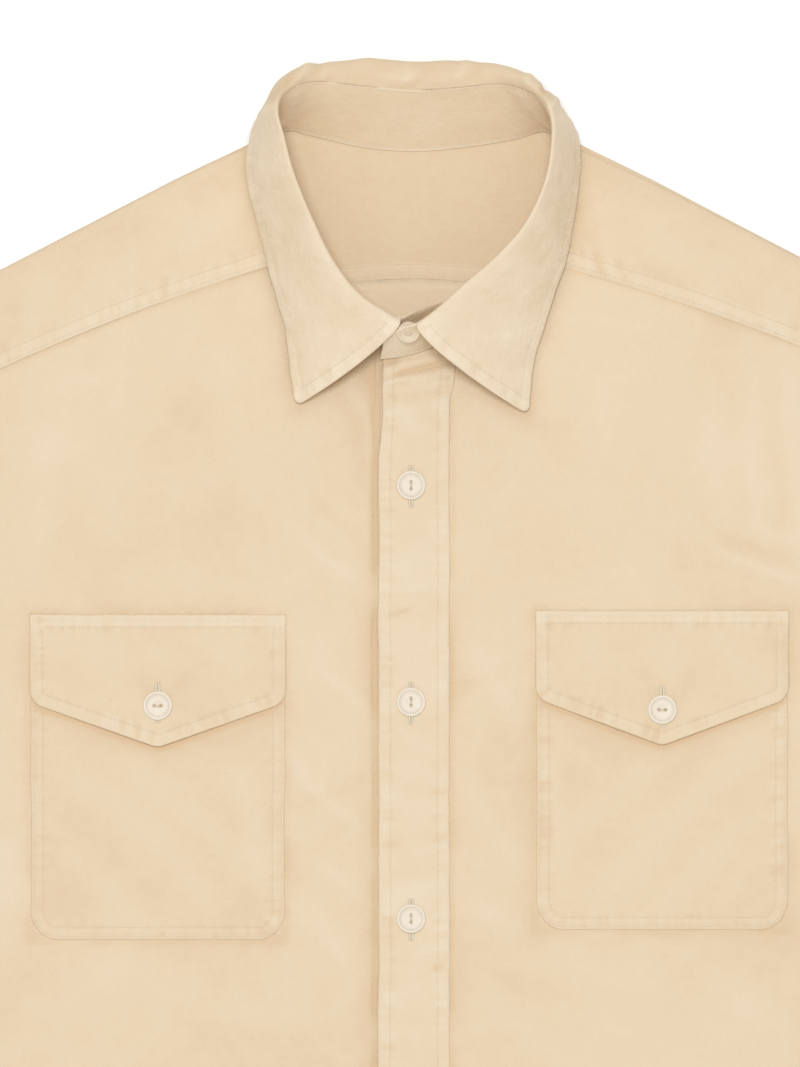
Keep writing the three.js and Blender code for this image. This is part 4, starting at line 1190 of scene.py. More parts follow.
def front_panel(sign):
    """One front, with its hem and, on the right one, the stitched edge of its facing."""
    left = sign > 0
    u = joined((0, 0.104, 14), (0.104, 0.152, 36), (0.152, 1, 112))
    v = joined((0, 0.42, 36), (0.42, 1, 190))
    plan = front_plan(sign, u, v)
    x, y = plan[..., 0], plan[..., 1]
    relief = mix(front_relief(x, y), -0.1, smooth(-2.5, 0.5, y - front_seam_y(x)))
    if left:
        relief = mix(relief, -0.1, 1 - smooth(BAND_RIGHT - 3, BAND_RIGHT - 0.5, x))
    else:
        relief = relief + 0.6 * smooth(FACING_EDGE - 0.4, FACING_EDGE + 0.2, x)
        relief = relief - 0.2 * bell((x - FACING_STITCH) / 0.6)
        relief = mix(relief, 0.0, smooth(BAND_LEFT + 3.2, BAND_LEFT + 5, x))
    hem = y - hem_y(x)
    relief = relief + sewn(hem, x, 40, row=HEM_STITCH, reach=6)
    under = np.dstack([x, y, front_under(x, y, float(left))])
    top = np.dstack([x, y, under[..., 2] + CLOTH + relief])
    # Paler hem band; painted highlight and shade from the relief; painted shade in the hollows beside the
    # band and the pockets.
    tone = 0.8 * (1 - smooth(6, 8, hem)) + painted_relief_shade_and_patches(relief, x, y, 201) - 0.55 * beside(x, y)
    # Painted shadow of the collar, and a painted shadow line just below the yoke's edge.
    tone = tone - near_collar(plan) - 0.35 * bell((front_seam_y(x) - y - 1) / 2.5)
    if not left:
        # Painted shade beside the band's left edge, down the right front's facing.
        tone = tone - 0.7 * bell((x - FACING_STITCH) / 2.6) * smooth(140, 195, y)
        tone = tone - 0.5 * bell((x - FACING_STITCH + 8) / 9) * smooth(165, 230, y)
    name = f"front_{SIDES[sign]}"
    piece = shell(f"{name}_cloth", top, under, plan, tone, SHIRTING)
    settle(piece, name)
    rows = Sewing(f"{name}_stitches")
    past_band = sign * x > (BAND_RIGHT if left else -BAND_LEFT) + 1
    line, ups = offset_line(top, hem, HEM_STITCH, 0, past_band)
    rows.row(line, ups * np.sign(ups[:, 2:]))
    if not left:
        surface = height_on(top[140:, :70])
        y = np.arange(176, 254, 1.0)
        x = FACING_STITCH + 0.25 * waves(y, 12, 64)
        rows.row(np.stack([x, y, surface(x, y)], axis=-1), np.tile(UP, (len(y), 1)))
    rows.finish()


def height_on(grid):
    """Height of a height-field grid at any place, from its nearest points."""
    flat = grid.reshape(-1, 3)

    def at(x, y):
        x, y = np.atleast_1d(x), np.atleast_1d(y)
        out = np.empty(len(x))
        for k, (a, b) in enumerate(zip(x, y)):
            near = (flat[:, 0] - a) ** 2 + (flat[:, 1] - b) ** 2
            four = np.argpartition(near, 4)[:4]
            weight = 1 / (near[four] + 1e-4)
            out[k] = (flat[four, 2] * weight).sum() / weight.sum()
        return out

    return at


def band_piece():
    """Buttonhole band down the front, with its buttonholes; returns the height of its face."""
    width = BAND_RIGHT - BAND_LEFT
    across = places(width, 0.9)
    along = places(BAND_LENGTH, 1.05)
    off = across / width
    x0 = BAND_LEFT + across
    end = BAND_TOP_Y + BAND_TOP_BOW * (x0 - BAND_LEFT) ** 2
    y = mix(hem_y(x0)[None], end[None], along[:, None] / BAND_LENGTH)
    left_edge = 2.4 * smooth(196, 226, y) + 0.3 * waves(y, 24, 90) + 0.15 * waves(y, 6, 91)
    right_edge = 2.7 * smooth(228, 248, y) + 0.2 * waves(y, 30, 92) + 0.12 * waves(y, 7, 93)
    x = x0[None] + left_edge * (1 - off[None]) ** 2 + right_edge * off[None] ** 2
    left, right = across[None] + 0 * y, width - across[None] + 0 * y
    seam = sewn(left, y, 51, pucker=0.3) + sewn(right, y, 52, pucker=0.3)
    slant = y + 0.3 * x * waves(y, 60, 94)
    folds = ridges(BAND_FOLDS, x, y, 1.5) + 0.5 * waves(slant, 6, 95) * (0.5 + 0.5 * waves(y, 33, 96))
    relief = seam + folds + 0.22 * mounds(x, y, 17, 53) + 0.12 * mounds(x, y, 7, 54)
    below = front_top(x, y, 1.0)
    sides = np.maximum(turned(left, PATCH_THICK, 0.7), turned(right, PATCH_THICK, 0.7))
    ends = turned(y - hem_y(x), BAND, 1.1)
    z = below + PATCH_THICK + relief - np.maximum(sides, ends * 0.6)
    top = np.dstack([x, y, z])
    under = np.dstack([x, y, np.minimum(below - 0.05, z - 0.1)])
    tone = 0.22 + seam_wear_and_painted_shade(seam) + painted_relief_shade_and_patches(1.5 * (relief - seam), x, y, 215)
    # Painted shade in the troughs of the band's folds.
    tone = tone + 1.1 * np.clip(folds + 0.3, -0.7, 0)
    # Painted shade towards the band's top, under the collar, and the collar's painted shadow.
    tone = tone - 0.3 * smooth(228, 252, y) - near_collar(np.dstack([x, y]))
    piece = shell("front_band_cloth", top, under, np.dstack([x, y]), tone, SHIRTING)
    settle(piece, "front_band", slot="doubled")
    rows = Sewing("front_band_stitches")
    keep = (y > hem_y(x) + 4) & (y < end[None] - 1)
    for field in (left, right):
        rows.row_on(top, field, TOPSTITCH, 1, keep)
    surface = height_on(top)
    for hole_y in BAND_BUTTONS_Y:
        rows.buttonhole(np.array([BUTTON_X, hole_y - 0.6, 0]), (0, 1, 0), 21.5, surface)
    rows.finish()
    return surface


# Pockets and their flaps


def outline(points):
    """Closed line through points, as finely as the distances need."""
    points = np.asarray(points, float)
    made = []
    for a, b in zip(points[:-1], points[1:]):
        count = max(1, int(np.linalg.norm(b - a) / 2))
        made.append(mix(a, b, (np.arange(count) / count)[:, None]))
    made.append(points[-1:])
    return np.concatenate(made)


def free_edge(row, off, edge, top_y):
    """Border of a pocket or flap, down one side, along its lower edge and up the other side."""
    lower = np.stack([row["x"] + off, edge], axis=-1)
    return outline(np.concatenate([[(row["x"] + off[0], top_y)], lower, [(row["x"] + off[-1], top_y)]]))


def pocket_floor(row, off):
    half = row["width"] / 2
    into = np.maximum(0, np.abs(off) - (half - POCKET_CORNER)) / POCKET_CORNER
    return row["bottom"] + POCKET_CORNER * 1.2 * (1 - np.sqrt(1 - np.minimum(1, into * 0.995) ** 2))


def flap_edge_y(row, u):
    slope = row["top"] - FLAP_SIDE - row["tip"]
    u = np.abs(u)
    corner = (1 - np.sqrt(1 - np.clip((u - 0.905) / 0.095, 0, 0.995) ** 2)) * FLAP_CORNER
    blunt = 0.45 * bell(u / 0.02)
    return row["tip"] + slope * u + corner + blunt


def pocket_piece(side):
    """Patch pocket with a doubly stitched edge; its mouth lies under the flap."""
    row = POCKETS[side]
    seed = POCKET_SEEDS[side]
    half = row["width"] / 2
    across = places(row["width"], 1.15)
    top_y = row["top"] - POCKET_MOUTH
    deep = top_y - row["bottom"]
    v = places(deep, 1.15) / deep
    off = across - half
    floor = pocket_floor(row, off)
    y = mix(top_y, floor[None], v[:, None])
    x = row["x"] + off[None] + 0 * y
    far, place = from_line(np.dstack([x, y]), free_edge(row, off, floor, top_y))
    wobble = 0.25 * waves(y, 14, seed)
    x = x + wobble * np.sign(off)[None] * smooth(0.6, 1, np.abs(off / half))[None]
    seam = sewn(far, place, seed, row=EDGESTITCH, depth=0.1, pucker=0.13, swell=0.08, reach=5)
    seam = seam + sewn(far, place, seed + 1, row=TOPSTITCH, pucker=0.2, swell=0.08, reach=5)
    relief = seam + ridges(POCKET_CREASES[side], x - row["x"], y - row["top"], 4)
    relief = relief + 0.16 * mounds(x, y, 24, seed + 2) + 0.07 * mounds(x, y, 9, seed + 3)
    u = (x - row["x"]) / half
    puff = POCKET_PUFF * np.clip(1 - u * u, 0, 1) * np.sin(np.pi * clamp01(v * 1.02 + 0.03))[:, None]
    below = front_top(x, y, float(side == "left"))
    calm = mix(0.5, 1, smooth(0, 4, far))
    z = below + PATCH_THICK + puff * 0.8 + relief * calm - turned(far, PATCH_THICK)
    # Painted shadow on the pocket just below the flap's free edge.
    under_flap = flap_edge_y(row, u) - y
    shaded = bell(under_flap / 2.2) + 0.4 * bell(under_flap / 7)
    tone = seam_wear_and_painted_shade(seam) + painted_relief_shade_and_patches(relief - seam, x, y, 211) - 0.2 - shaded
    top = np.dstack([x, y, z])
    under = np.dstack([x, y, np.minimum(below + 0.15, z - 0.12) - 0.2 * (far < 0.3)])
    piece = shell(f"pocket_{side}_cloth", top, under, top[..., :2], tone, SHIRTING)
    settle(piece, f"pocket_{side}")
    rows = Sewing(f"pocket_{side}_stitches")
    above_corners = np.arange(top.shape[0])[:, None] < top.shape[0] - 12
    for level in (EDGESTITCH, TOPSTITCH):
        rows.rows_down_sides(top, far, level, above_corners)
        between = np.abs(x - row["x"]) < half - level - 0.5
        rows.row_on(top[::-1], far[::-1], level, 0, between[::-1])
    rows.finish()


def flap_piece(side):
    """Pointed flap over the pocket, with its buttonhole; returns the height of its face."""
    row = POCKETS[side]
    seed = FLAP_SEEDS[side]
    half = row["width"] / 2 + FLAP_OVERHANG
    across = places(2 * half, 1.0)
    deep = row["top"] - row["tip"]
    v = (places(deep, 1.0) / deep)[:, None]
    off = across - half
    u = off[None] / half
    edge = flap_edge_y(row, off / half)
    y = mix(row["top"], edge[None], v)
    x = row["x"] + off[None] + 0 * y
    cx, cy = x - row["x"], y - row["top"]
    free, place = from_line(np.dstack([x, y]), free_edge(row, off, edge, row["top"]))
    head = row["top"] - y
    far = np.minimum(free, head)
    seam = sewn(free, place, seed, pucker=0.24, reach=3.5)
    seam = seam + sewn(head, x, seed + 1, pucker=0.24, reach=6, swell=0.18)
    relief = seam + 0.2 * mounds(x, y, 18, seed + 2) + 0.06 * mounds(x, y, 7, seed + 3)
    relief = relief + ridges(FLAP_DENTS, cx, cy, 2)
    on_pocket = smooth(2, POCKET_MOUTH, head) * smooth(-0.4, 3, half - np.abs(off))[None]
    bulge = clamp01(1 - u**2)
    puff = POCKET_PUFF * 0.8 * bulge * smooth(0.1, 0.9, v) + FLAP_PUFF * 0.7 * bulge * smooth(0, 0.45, v)
    below = front_top(x, y, float(side == "left")) + PATCH_THICK * on_pocket
    creases = ridges(POCKET_CREASES[side], cx, cy, 4) * on_pocket
    lifted = 1.1 * smooth(0.35, 1, v) * (0.3 + 0.7 * bulge)
    z = below + creases + FLAP_THICK + puff + relief + lifted - turned(far, FLAP_THICK * 0.9, 0.6)
    top = np.dstack([x, y, z])
    under = np.dstack([x, y, np.minimum(below + puff * 0.6 + 0.15, z - 0.12)])
    tone = seam_wear_and_painted_shade(seam) - 0.1 + 0.3 * (1 - smooth(5.2, 7, head)) + painted_relief_shade_and_patches(relief - seam, x, y, seed + 5)
    piece = shell(f"pocket_flap_{side}_cloth", top, under, top[..., :2], tone, SHIRTING)
    settle(piece, f"pocket_flap_{side}", slot="doubled")
    rows = Sewing(f"pocket_flap_{side}_stitches")
    between = np.abs(cx) <= half - TOPSTITCH - 0.6
    rows.row_on(top, head, TOPSTITCH, 0, between)
    rows.row_on(top[::-1], free[::-1], TOPSTITCH, 0, (between & (v > 0.3))[::-1])
    rows.rows_down_sides(top, free, TOPSTITCH, (head > TOPSTITCH) & (y > row["top"] - FLAP_SIDE + 4))
    surface = height_on(top)
    rows.buttonhole(np.array([row["x"], row["button"] + 1.5, 0]), (0, 1, 0), 21, surface)
    rows.finish()
    return surface


# Back and yoke


def back_piece():
    """Back below the yoke, flat on the floor, its inner face up."""
    end = meets(back_seam_y, 1)
    tip = armhole(end)[0]
    u = np.linspace(0, 1, 130)
    v = np.linspace(0, 1, 150)
    bottom_x = mix(-HEM_HALF, HEM_HALF, u)
    top_x = mix(-tip, tip, u)
    bottom = np.stack([bottom_x, hem_y(bottom_x)], axis=-1)
    top = np.stack([top_x, back_seam_y(top_x)], axis=-1)
    side = side_line(v, end)
    plan = coons(bottom, top, side * (-1, 1), side, u, v)
    x, y = plan[..., 0], plan[..., 1]
    seam = back_seam_y(x) - y
    relief = 0.18 * mounds(x, y, 40, 21) + 0.12 * waves(x, 7, 22) * np.exp(-np.maximum(seam, 0) / 14)
    relief = relief * smooth(0, 20, side_x(y) - np.abs(x))
    upper = np.dstack([x, y, CLOTH - 0.35 + np.clip(relief, -0.3, 0.35)])
    # The back's inner face is painted paler: painted light inside the neck, where the collar shades it.
    piece = shell("back_cloth", upper, np.dstack([x, y, 0 * x]), plan, 0 * x + 0.2, SHIRTING, every=3)
    settle(piece, "back")


def yoke_columns():
    """Neck point, outer point, share of the turn to the front, and bow of each column of the yoke."""
    end = meets(back_seam_y, 1)
    tip = armhole(end)[0]

    def shoulder(sign, seam_row, fold_row):
        done = places(YOKE_FRONT, 1.4)
        done = done[done < YOKE_FRONT - 1.5] / YOKE_FRONT
        outer = armhole(mix(meets(front_seam_y, sign), 0, done), sign)
        return neck_edge(mix(seam_row, fold_row, done)), outer, np.ones(len(done)), 1 - done

    def fold(sign, fold_rows):
        count = len(fold_rows)
        spread = np.interp(np.linspace(0, count - 1, FOLD_STEPS), np.arange(count), fold_rows)
        outer = np.repeat(armhole(0.0, sign)[None], FOLD_STEPS, axis=0)
        return neck_edge(spread), outer, np.linspace(1, 0, FOLD_STEPS), np.zeros(FOLD_STEPS)

    def across_back():
        x = np.linspace(-tip, tip, 96)
        down = armhole(np.linspace(0, end, 6)[1:-1])
        outer = np.concatenate([down * (-1, 1), np.stack([x, back_seam_y(x)], axis=-1), down[::-1]])
        spread = np.linspace(RIGHT_FOLD_ROWS[-1], LEFT_FOLD_ROWS[-1], len(outer) + 2)[1:-1]
        return neck_edge(spread), outer, np.zeros(len(outer)), np.zeros(len(outer))

    def flipped(parts):
        return tuple(part[::-1] for part in parts)

    right_front = shoulder(-1, RIGHT_SEAM_ROW, RIGHT_FOLD_ROWS[0])
    stretches = (
        right_front,
        fold(-1, RIGHT_FOLD_ROWS),
        across_back(),
        flipped(fold(1, LEFT_FOLD_ROWS)),
        flipped(shoulder(1, LEFT_SEAM_ROW, LEFT_FOLD_ROWS[0])),
    )
    joined_up = [np.concatenate(parts)[:, None] for parts in zip(*stretches)]
    return joined_up, len(right_front[0])


def yoke_middle(neck, outer, front, bow):
    """Middle surface of the yoke, from the floor behind the neck over the folds to the fronts."""
    t = places(YOKE_REACH, 1.9)[None] / YOKE_REACH
    plan = mix(neck, outer, t[..., None])
    x, y = plan[..., 0], plan[..., 1]
    seam = front_seam_y(x) - mix(front_seam_y(neck[..., 0]), front_seam_y(outer[..., 0]), t)
    y = y + bow * seam
    floor = CLOTH / 2
    upper = front_under(x, y, (x > 0).astype(float)) + LAYER + CLOTH / 2
    turn = np.sin(front * np.pi) * ((upper - floor) / 2) * smooth(0, 0.3, t)
    share = np.where(front < 1, 0.5 - 0.5 * np.cos(front * np.pi), 1.0)
    middle = np.dstack([x + np.sign(x) * turn * 0.45, y + turn * 0.9, mix(floor, upper, share)])
    return x, y, middle


def yoke_piece():
    """Yoke: from one front seam over the shoulder, across the back and over the other shoulder."""
    (neck, outer, front, bow), front_count = yoke_columns()
    x, y, middle = yoke_middle(neck, outer, front, bow)
    normal = grid_normals(middle)
    if normal[3, 50, 2] < 0:
        normal = -normal
    count = len(middle)
    order = np.arange(count)
    on_front = np.minimum(order, order[::-1])[:, None] < front_count
    seam_far = np.where(on_front, np.maximum(y - front_seam_y(x), 0), NO_EDGE)
    seam = sewn(seam_far, x, 31, row=YOKE_ROWS[0], depth=0.1, pucker=0.2, swell=0.08, reach=5)
    seam = seam + sewn(seam_far, x, 33, row=YOKE_ROWS[1], depth=0.14, pucker=0.3, swell=0.12, reach=7)
    relief = seam + np.where(on_front, crumple(x, y, 35) * 0.9 + ridges(YOKE_CREASES, x, y, 4), 0)
    relief = relief * smooth(0, 6, SHOULDER_Y0 - SHOULDER_SLOPE * np.abs(x) - y)
    seam_back = np.where(front == 0, y - back_seam_y(x), NO_EDGE)
    inward = sewn(seam_back, x, 37, row=YOKE_BACK_ROWS[0], depth=0.14, pucker=0.12, swell=0.1, reach=6)
    second = sewn(seam_back, x, 38, row=YOKE_BACK_ROWS[1], depth=0.16, pucker=0.12, swell=0.16, reach=8)
    inward = inward + second
    half = CLOTH / 2
    lowered = np.where(on_front, 0.75 * (1 - smooth(0, 16, seam_far)), 0)
    rounding = np.where(on_front, turned(seam_far, 0.6, 0.6), 0) + lowered
    outer_face = middle + normal * (half + relief * on_front - 0.1 - rounding)[..., None]
    inner_face = middle - normal * (half - 0.15)
    # On the back part the inner face is the upper one, and it carries the relief of the back seam
    on_back = (front == 0) & np.ones_like(x, bool)
    inner_face[on_back, 2] = (CLOTH - 0.35 + np.clip(inward, -0.3, 0.5))[on_back]
    outer_face[on_back, 2] = 0.0
    uv = np.dstack([x, np.where(front > 0.5, y, 2 * SHOULDER_Y0 - y)])
    front_tone = -0.22 + 0.25 * (1 - smooth(8.2, 9.6, seam_far)) + seam_wear_and_painted_shade(seam)
    front_tone = front_tone + painted_relief_shade_and_patches(relief - seam, x, y, 205) - near_collar(np.dstack([x, y]))
    # The yoke's inner face: paler by the back seam, and painted shade over the rest, inside the neck.
    back_tone = 0.3 * (1 - smooth(7.5, 9, seam_back)) - 0.35
    tone = np.where(front > 0, front_tone, back_tone)
    piece = shell("yoke_cloth", outer_face, inner_face, uv, tone, SHIRTING, every=1)
    settle(piece, "yoke_back", "yoke_right", "yoke_left")
    rows = Sewing("yoke_stitches")
    right, left = slice(0, front_count), slice(count - 1, count - 1 - front_count, -1)
    for level in YOKE_ROWS:
        for part in (right, left):
            line, ups = offset_line(outer_face[part], seam_far[part], level, 0)
            rows.row(line, ups * np.sign(ups[:, 2:]))
    back = slice(front_count + 12, count - front_count - 12)
    for level in YOKE_BACK_ROWS:
        line, ups = offset_line(inner_face[back, ::-1], seam_back[back, ::-1], level, 1)
        rows.row(line, ups * np.sign(ups[:, 2:]))
    rows.finish()


# Collar


def outward_at(line, face, middle):
    """Outward direction of a face at the points of a line that was taken from it."""
    flat_face, flat_middle = face.reshape(-1, 3), middle.reshape(-1, 3)
    nearest = [((flat_face - point) ** 2).sum(-1).argmin() for point in line]
    return unit(flat_face[nearest] - flat_middle[nearest])


def stand_piece():
    """Collar stand: from the end that lies underneath, round the neck, to the end on top."""
    row = joined((0, 2, 40), (2, 24, 330), (24, STAND_LAST, 50))
    neck, top, _ = collar_section(row)
    v = places(STAND_BACK, 1.0) / STAND_BACK
    middle = mix(neck[:, None], top[:, None], v[None, :, None])
    normal = grid_normals(middle)
    length = run_of(neck)
    height = np.linalg.norm(top - neck, axis=1)
    low = v[None] * height[:, None]
    high = height[:, None] - low
    place = length[:, None] + 0 * low
    ends = np.minimum(place, length[-1] - place)
    relief = sewn(low, place, 101, row=1.6, depth=0.1, pucker=0.24, swell=0.06, reach=5)
    relief = relief + sewn(high, place, 102, row=1.8, depth=0.08, pucker=0.16, swell=0.04, reach=4)
    relief = relief + 0.2 * mounds(place, low, 14, 103) + 0.12 * mounds(place, low, 6, 104)
    for at_row, lean, width, deep in STAND_CREASES:
        off = place + lean * (low - 16) - np.interp(at_row, row, length)
        relief = relief + deep * bell(off / width) * smooth(1, 9, low) * smooth(0, 6, high)
    edge = np.minimum(np.minimum(low, high), ends)
    half = BAND / 2 - 0.15
    sag = 0.8 * mounds(place, low, 34, 105) * smooth(0, 8, edge)
    middle = middle + normal * sag[..., None] * 0.5
    off = half - turned(edge, half * 0.8, 0.8) + relief * 0.8
    outer = middle + normal * off[..., None]
    inner = middle - normal * off[..., None]
    for face in (outer, inner):
        face[..., 2] = np.maximum(face[..., 2], 0.05)
    # Paler edges: rubbed seams with a painted highlight; painted shade over the rest of the stand, inside the
    # neck.
    tone = 0.6 * (1 - smooth(1.2, 2.4, np.minimum(low, high))) - 0.35 + painted_relief_shade_and_patches(relief * 1.4, place, low, 221)
    # Painted light on the stand's front end, where the leaf shades it.
    tone = tone + 1.2 * smooth(STAND_LAST - 2.5, STAND_LAST - 1.2, row)[:, None]
    piece = shell("collar_stand_cloth", outer, inner, np.dstack([place, low]), tone, COLLAR_SHIRTING_PAINTED_LIGHT, every=1)
    settle(piece, "collar_stand", slot="doubled")
    rows = Sewing("collar_stand_stitches")
    for face in (outer, inner):
        for field in (low, high):
            rows.row_round(face, middle, field, STAND_STITCH, 1, ends > 2)
    rows.finish()


def round_point(middle):
    """Rounds the point of the leaf, at the first row and last column of its middle surface."""
    tip = middle[0, -1].copy()
    along_edge = unit(middle[30, -1] - tip)
    along_front = unit(middle[0, -18] - tip)
    lean = np.dot(along_edge, along_front)
    sine2 = 1 - lean * lean
    reach = middle - tip
    a = (reach @ along_edge - lean * (reach @ along_front)) / sine2
    b = (reach @ along_front - lean * (reach @ along_edge)) / sine2
    u, v = clamp01(1 - a / POINT_ROUND), clamp01(1 - b / POINT_ROUND)
    near = (np.linalg.norm(reach, axis=-1) < 3 * POINT_ROUND)[..., None]
    shift_a = POINT_ROUND * u * (1 - np.sqrt(1 - v * v / 2))
    shift_b = POINT_ROUND * v * (1 - np.sqrt(1 - u * u / 2))
    middle += near * (shift_a[..., None] * along_edge + shift_b[..., None] * along_front)


def leaf_piece():
    """Collar leaf: climbs from the stand, rolls over and falls to its pointed edge."""
    rim = np.array([0, 0.006, 0.016, 0.03, 0.05, 0.08])
    row = np.concatenate([
        LEAF_FIRST + rim,
        np.linspace(LEAF_FIRST + 0.11, LEAF_LAST - 0.11, 400),
        LEAF_LAST - rim[::-1],
    ])
    shares = np.concatenate([np.linspace(0, 0.965, 58), [0.978, 0.987, 0.993, 0.997, 1]])
    middle = leaf_surface(row, shares)
    round_point(middle)
    round_point(middle[::-1])
    normal = grid_normals(middle)
    far_edge, along_edge = from_line(middle, middle[:, -1])
    far_right, along_right = from_line(middle, middle[0])
    far_left, along_left = from_line(middle, middle[-1])
    far_front = np.minimum(far_right, far_left)
    along_front = np.where(far_right < far_left, along_right, along_left + 100)
    far = np.minimum(far_edge, far_front)
    climbed = np.cumsum(np.linalg.norm(np.diff(middle, axis=1), axis=-1), axis=1)
    from_top = np.hstack([np.zeros((len(row), 1)), climbed])
    place = run_of(middle[:, 30])[:, None] + 0 * from_top
    seam = sewn(far_edge, along_edge, 111, pucker=0.42, reach=5)
    seam = seam + sewn(far_front, along_front, 115, pucker=0.36, reach=4)
    relief = seam + 0.4 * mounds(place, from_top, 22, 117) + 0.2 * mounds(place, from_top, 8, 118)
    relief = relief + 0.08 * mounds(place, from_top, 4.2, 119)
    relief = (relief + ridges(LEAF_CREASES, middle[..., 0], middle[..., 1], 2)) * smooth(0, 5, from_top)
    half = BAND / 2 - 0.1
    off = half - turned(far, half * 0.9)
    outer = middle + normal * (off + relief)[..., None]
    inner = middle - normal * off[..., None]
    inner[..., 2] = np.maximum(inner[..., 2], 0.06)
    outer[..., 2] = np.maximum(outer[..., 2], 0.12)
    # Painted light over the leaf, where its faces tilt away from the key light.
    tone = 0.42 + 0.06 * (1 - smooth(5.6, 7, far)) + 0.65 * seam_wear_and_painted_shade(seam)
    tone = tone + painted_relief_shade_and_patches(relief - seam, place, from_top, 225)
    # Painted shade on the roll at the back of the neck.
    tone = tone - 0.8 * smooth(372, 386, middle[..., 1])
    piece = shell("collar_leaf_cloth", outer, inner, np.dstack([place, from_top]), tone, COLLAR_SHIRTING_PAINTED_LIGHT, every=3)
    settle(piece, "collar_leaf", slot="doubled")
    rows = Sewing("collar_leaf_stitches")
    keep = (far_front > TOPSTITCH - 0.4) & (from_top > 6)
    rows.row_round(outer[:, ::-1], middle[:, ::-1], far_edge[:, ::-1], TOPSTITCH, 1, keep[:, ::-1])
    keep = (far_edge > TOPSTITCH - 0.4) & (from_top > 4)
    for way, field in ((1, far_right), (-1, far_left)):
        rows.row_round(outer[::way], middle[::way], field[::way], TOPSTITCH, 0, keep[::way])
    rows.finish()


# Sleeves and cuffs


def sleeve_plan(u):
    """Function that gives the floor plan of a sleeve's layer at shares w of its width."""
    start = armhole(np.array([0.0, 1.0])) + SLEEVE_OFF
    outer = bezier(start[0], *SLEEVE_OUTER, SLEEVE_OUTER_END, u)
    inner = bezier(start[1], *SLEEVE_INNER, SLEEVE_INNER_END, u)

    def plan(w):
        (tip_x, _), (low_x, low_y) = SLEEVE_OFF
        head = armhole(w) + np.stack([mix(tip_x, low_x, w**4), low_y * w**4], axis=-1)
        end = mix(np.array(SLEEVE_OUTER_END, float), np.array(SLEEVE_INNER_END, float), w[:, None])
        return coons(head, end, outer, inner, w, u)

    return plan


def sleeve_creases(x, y):
    return ridges(SLEEVE_CREASES, x, y, 5) + crumple(x, y, 130)


def sleeve_relief(u, w, x, y):
    """Height of the sleeve's upper layer over its pressed edges."""
    crown = np.sqrt(np.sin(np.pi * clamp01(w)))
    body = SLEEVE_LOFT * smooth(0, 0.2, u) + ridges(SLEEVE_FOLDS, x, y, 6) + sleeve_creases(x, y)
    gathers = 0.5 * waves(w * 120, 9, 133) * smooth(0.8, 1, u)
    return crown * (body * 0.9 + gathers)


def sleeve_piece(sign):
    """Sleeve: a tube pressed flat, its lower layer on the floor, with the strip of its slit."""
    side = SIDES[sign]
    u = np.linspace(0, 1, 166)
    plan = sleeve_plan(u)
    rim = np.array([0.004, 0.012, 0.025])
    w_top = np.concatenate([rim, np.linspace(0.04, 0.96, 62), 1 - rim[::-1]])
    w_low = np.concatenate([1 - rim, np.linspace(0.96, 0.04, 24), rim[::-1]])
    x, y = np.moveaxis(plan(w_top), -1, 0)
    level = SLEEVE_HEIGHT - CLOTH / 2 + sleeve_relief(u[:, None], w_top[None], x, y)
    low, edges = plan(w_low), plan(np.array([1.0, 0.0]))

    def at_height(flat, z):
        return np.dstack([flat, np.full(flat.shape[:2], z)])

    ring = np.concatenate([
        np.dstack([x, y, level]),
        at_height(edges[:, :1], SLEEVE_HEIGHT / 2),
        at_height(low, CLOTH / 2),
        at_height(edges[:, 1:], SLEEVE_HEIGHT / 2),
    ], axis=1)
    ring[..., 0] *= sign
    across = np.roll(ring, -1, axis=1) - np.roll(ring, 1, axis=1)
    normal = unit(np.cross(np.gradient(ring, axis=0), across))
    if normal[60, 20, 2] < 0:
        normal = -normal
    half = CLOTH / 2 - 0.05
    outer = ring + normal * half
    inner = ring - normal * (half - 0.2)
    outer[..., 2] = np.maximum(outer[..., 2], 0.0)
    zero = 0 * ring[..., 0]
    uv = np.dstack([u[:, None] * 550 + zero, np.cumsum(4.2 + zero, axis=1)])
    tone = 0.35 * (1 - smooth(0.012, 0.018, u))[:, None] + zero
    tone[:, : len(w_top)] += painted_relief_shade_and_patches(sleeve_creases(x, y), x, y, 231)
    piece = tube(f"sleeve_{side}_cloth", outer, inner, uv, tone, SHIRTING)
    settle(piece, f"sleeve_{side}")
    rows = Sewing(f"sleeve_{side}_stitches")
    for ring_row in ARMHOLE_ROWS:
        rows.row(outer[ring_row, : len(w_top)], normal[ring_row, : len(w_top)])
    rows.finish()
    slit_piece(sign, plan, len(u))


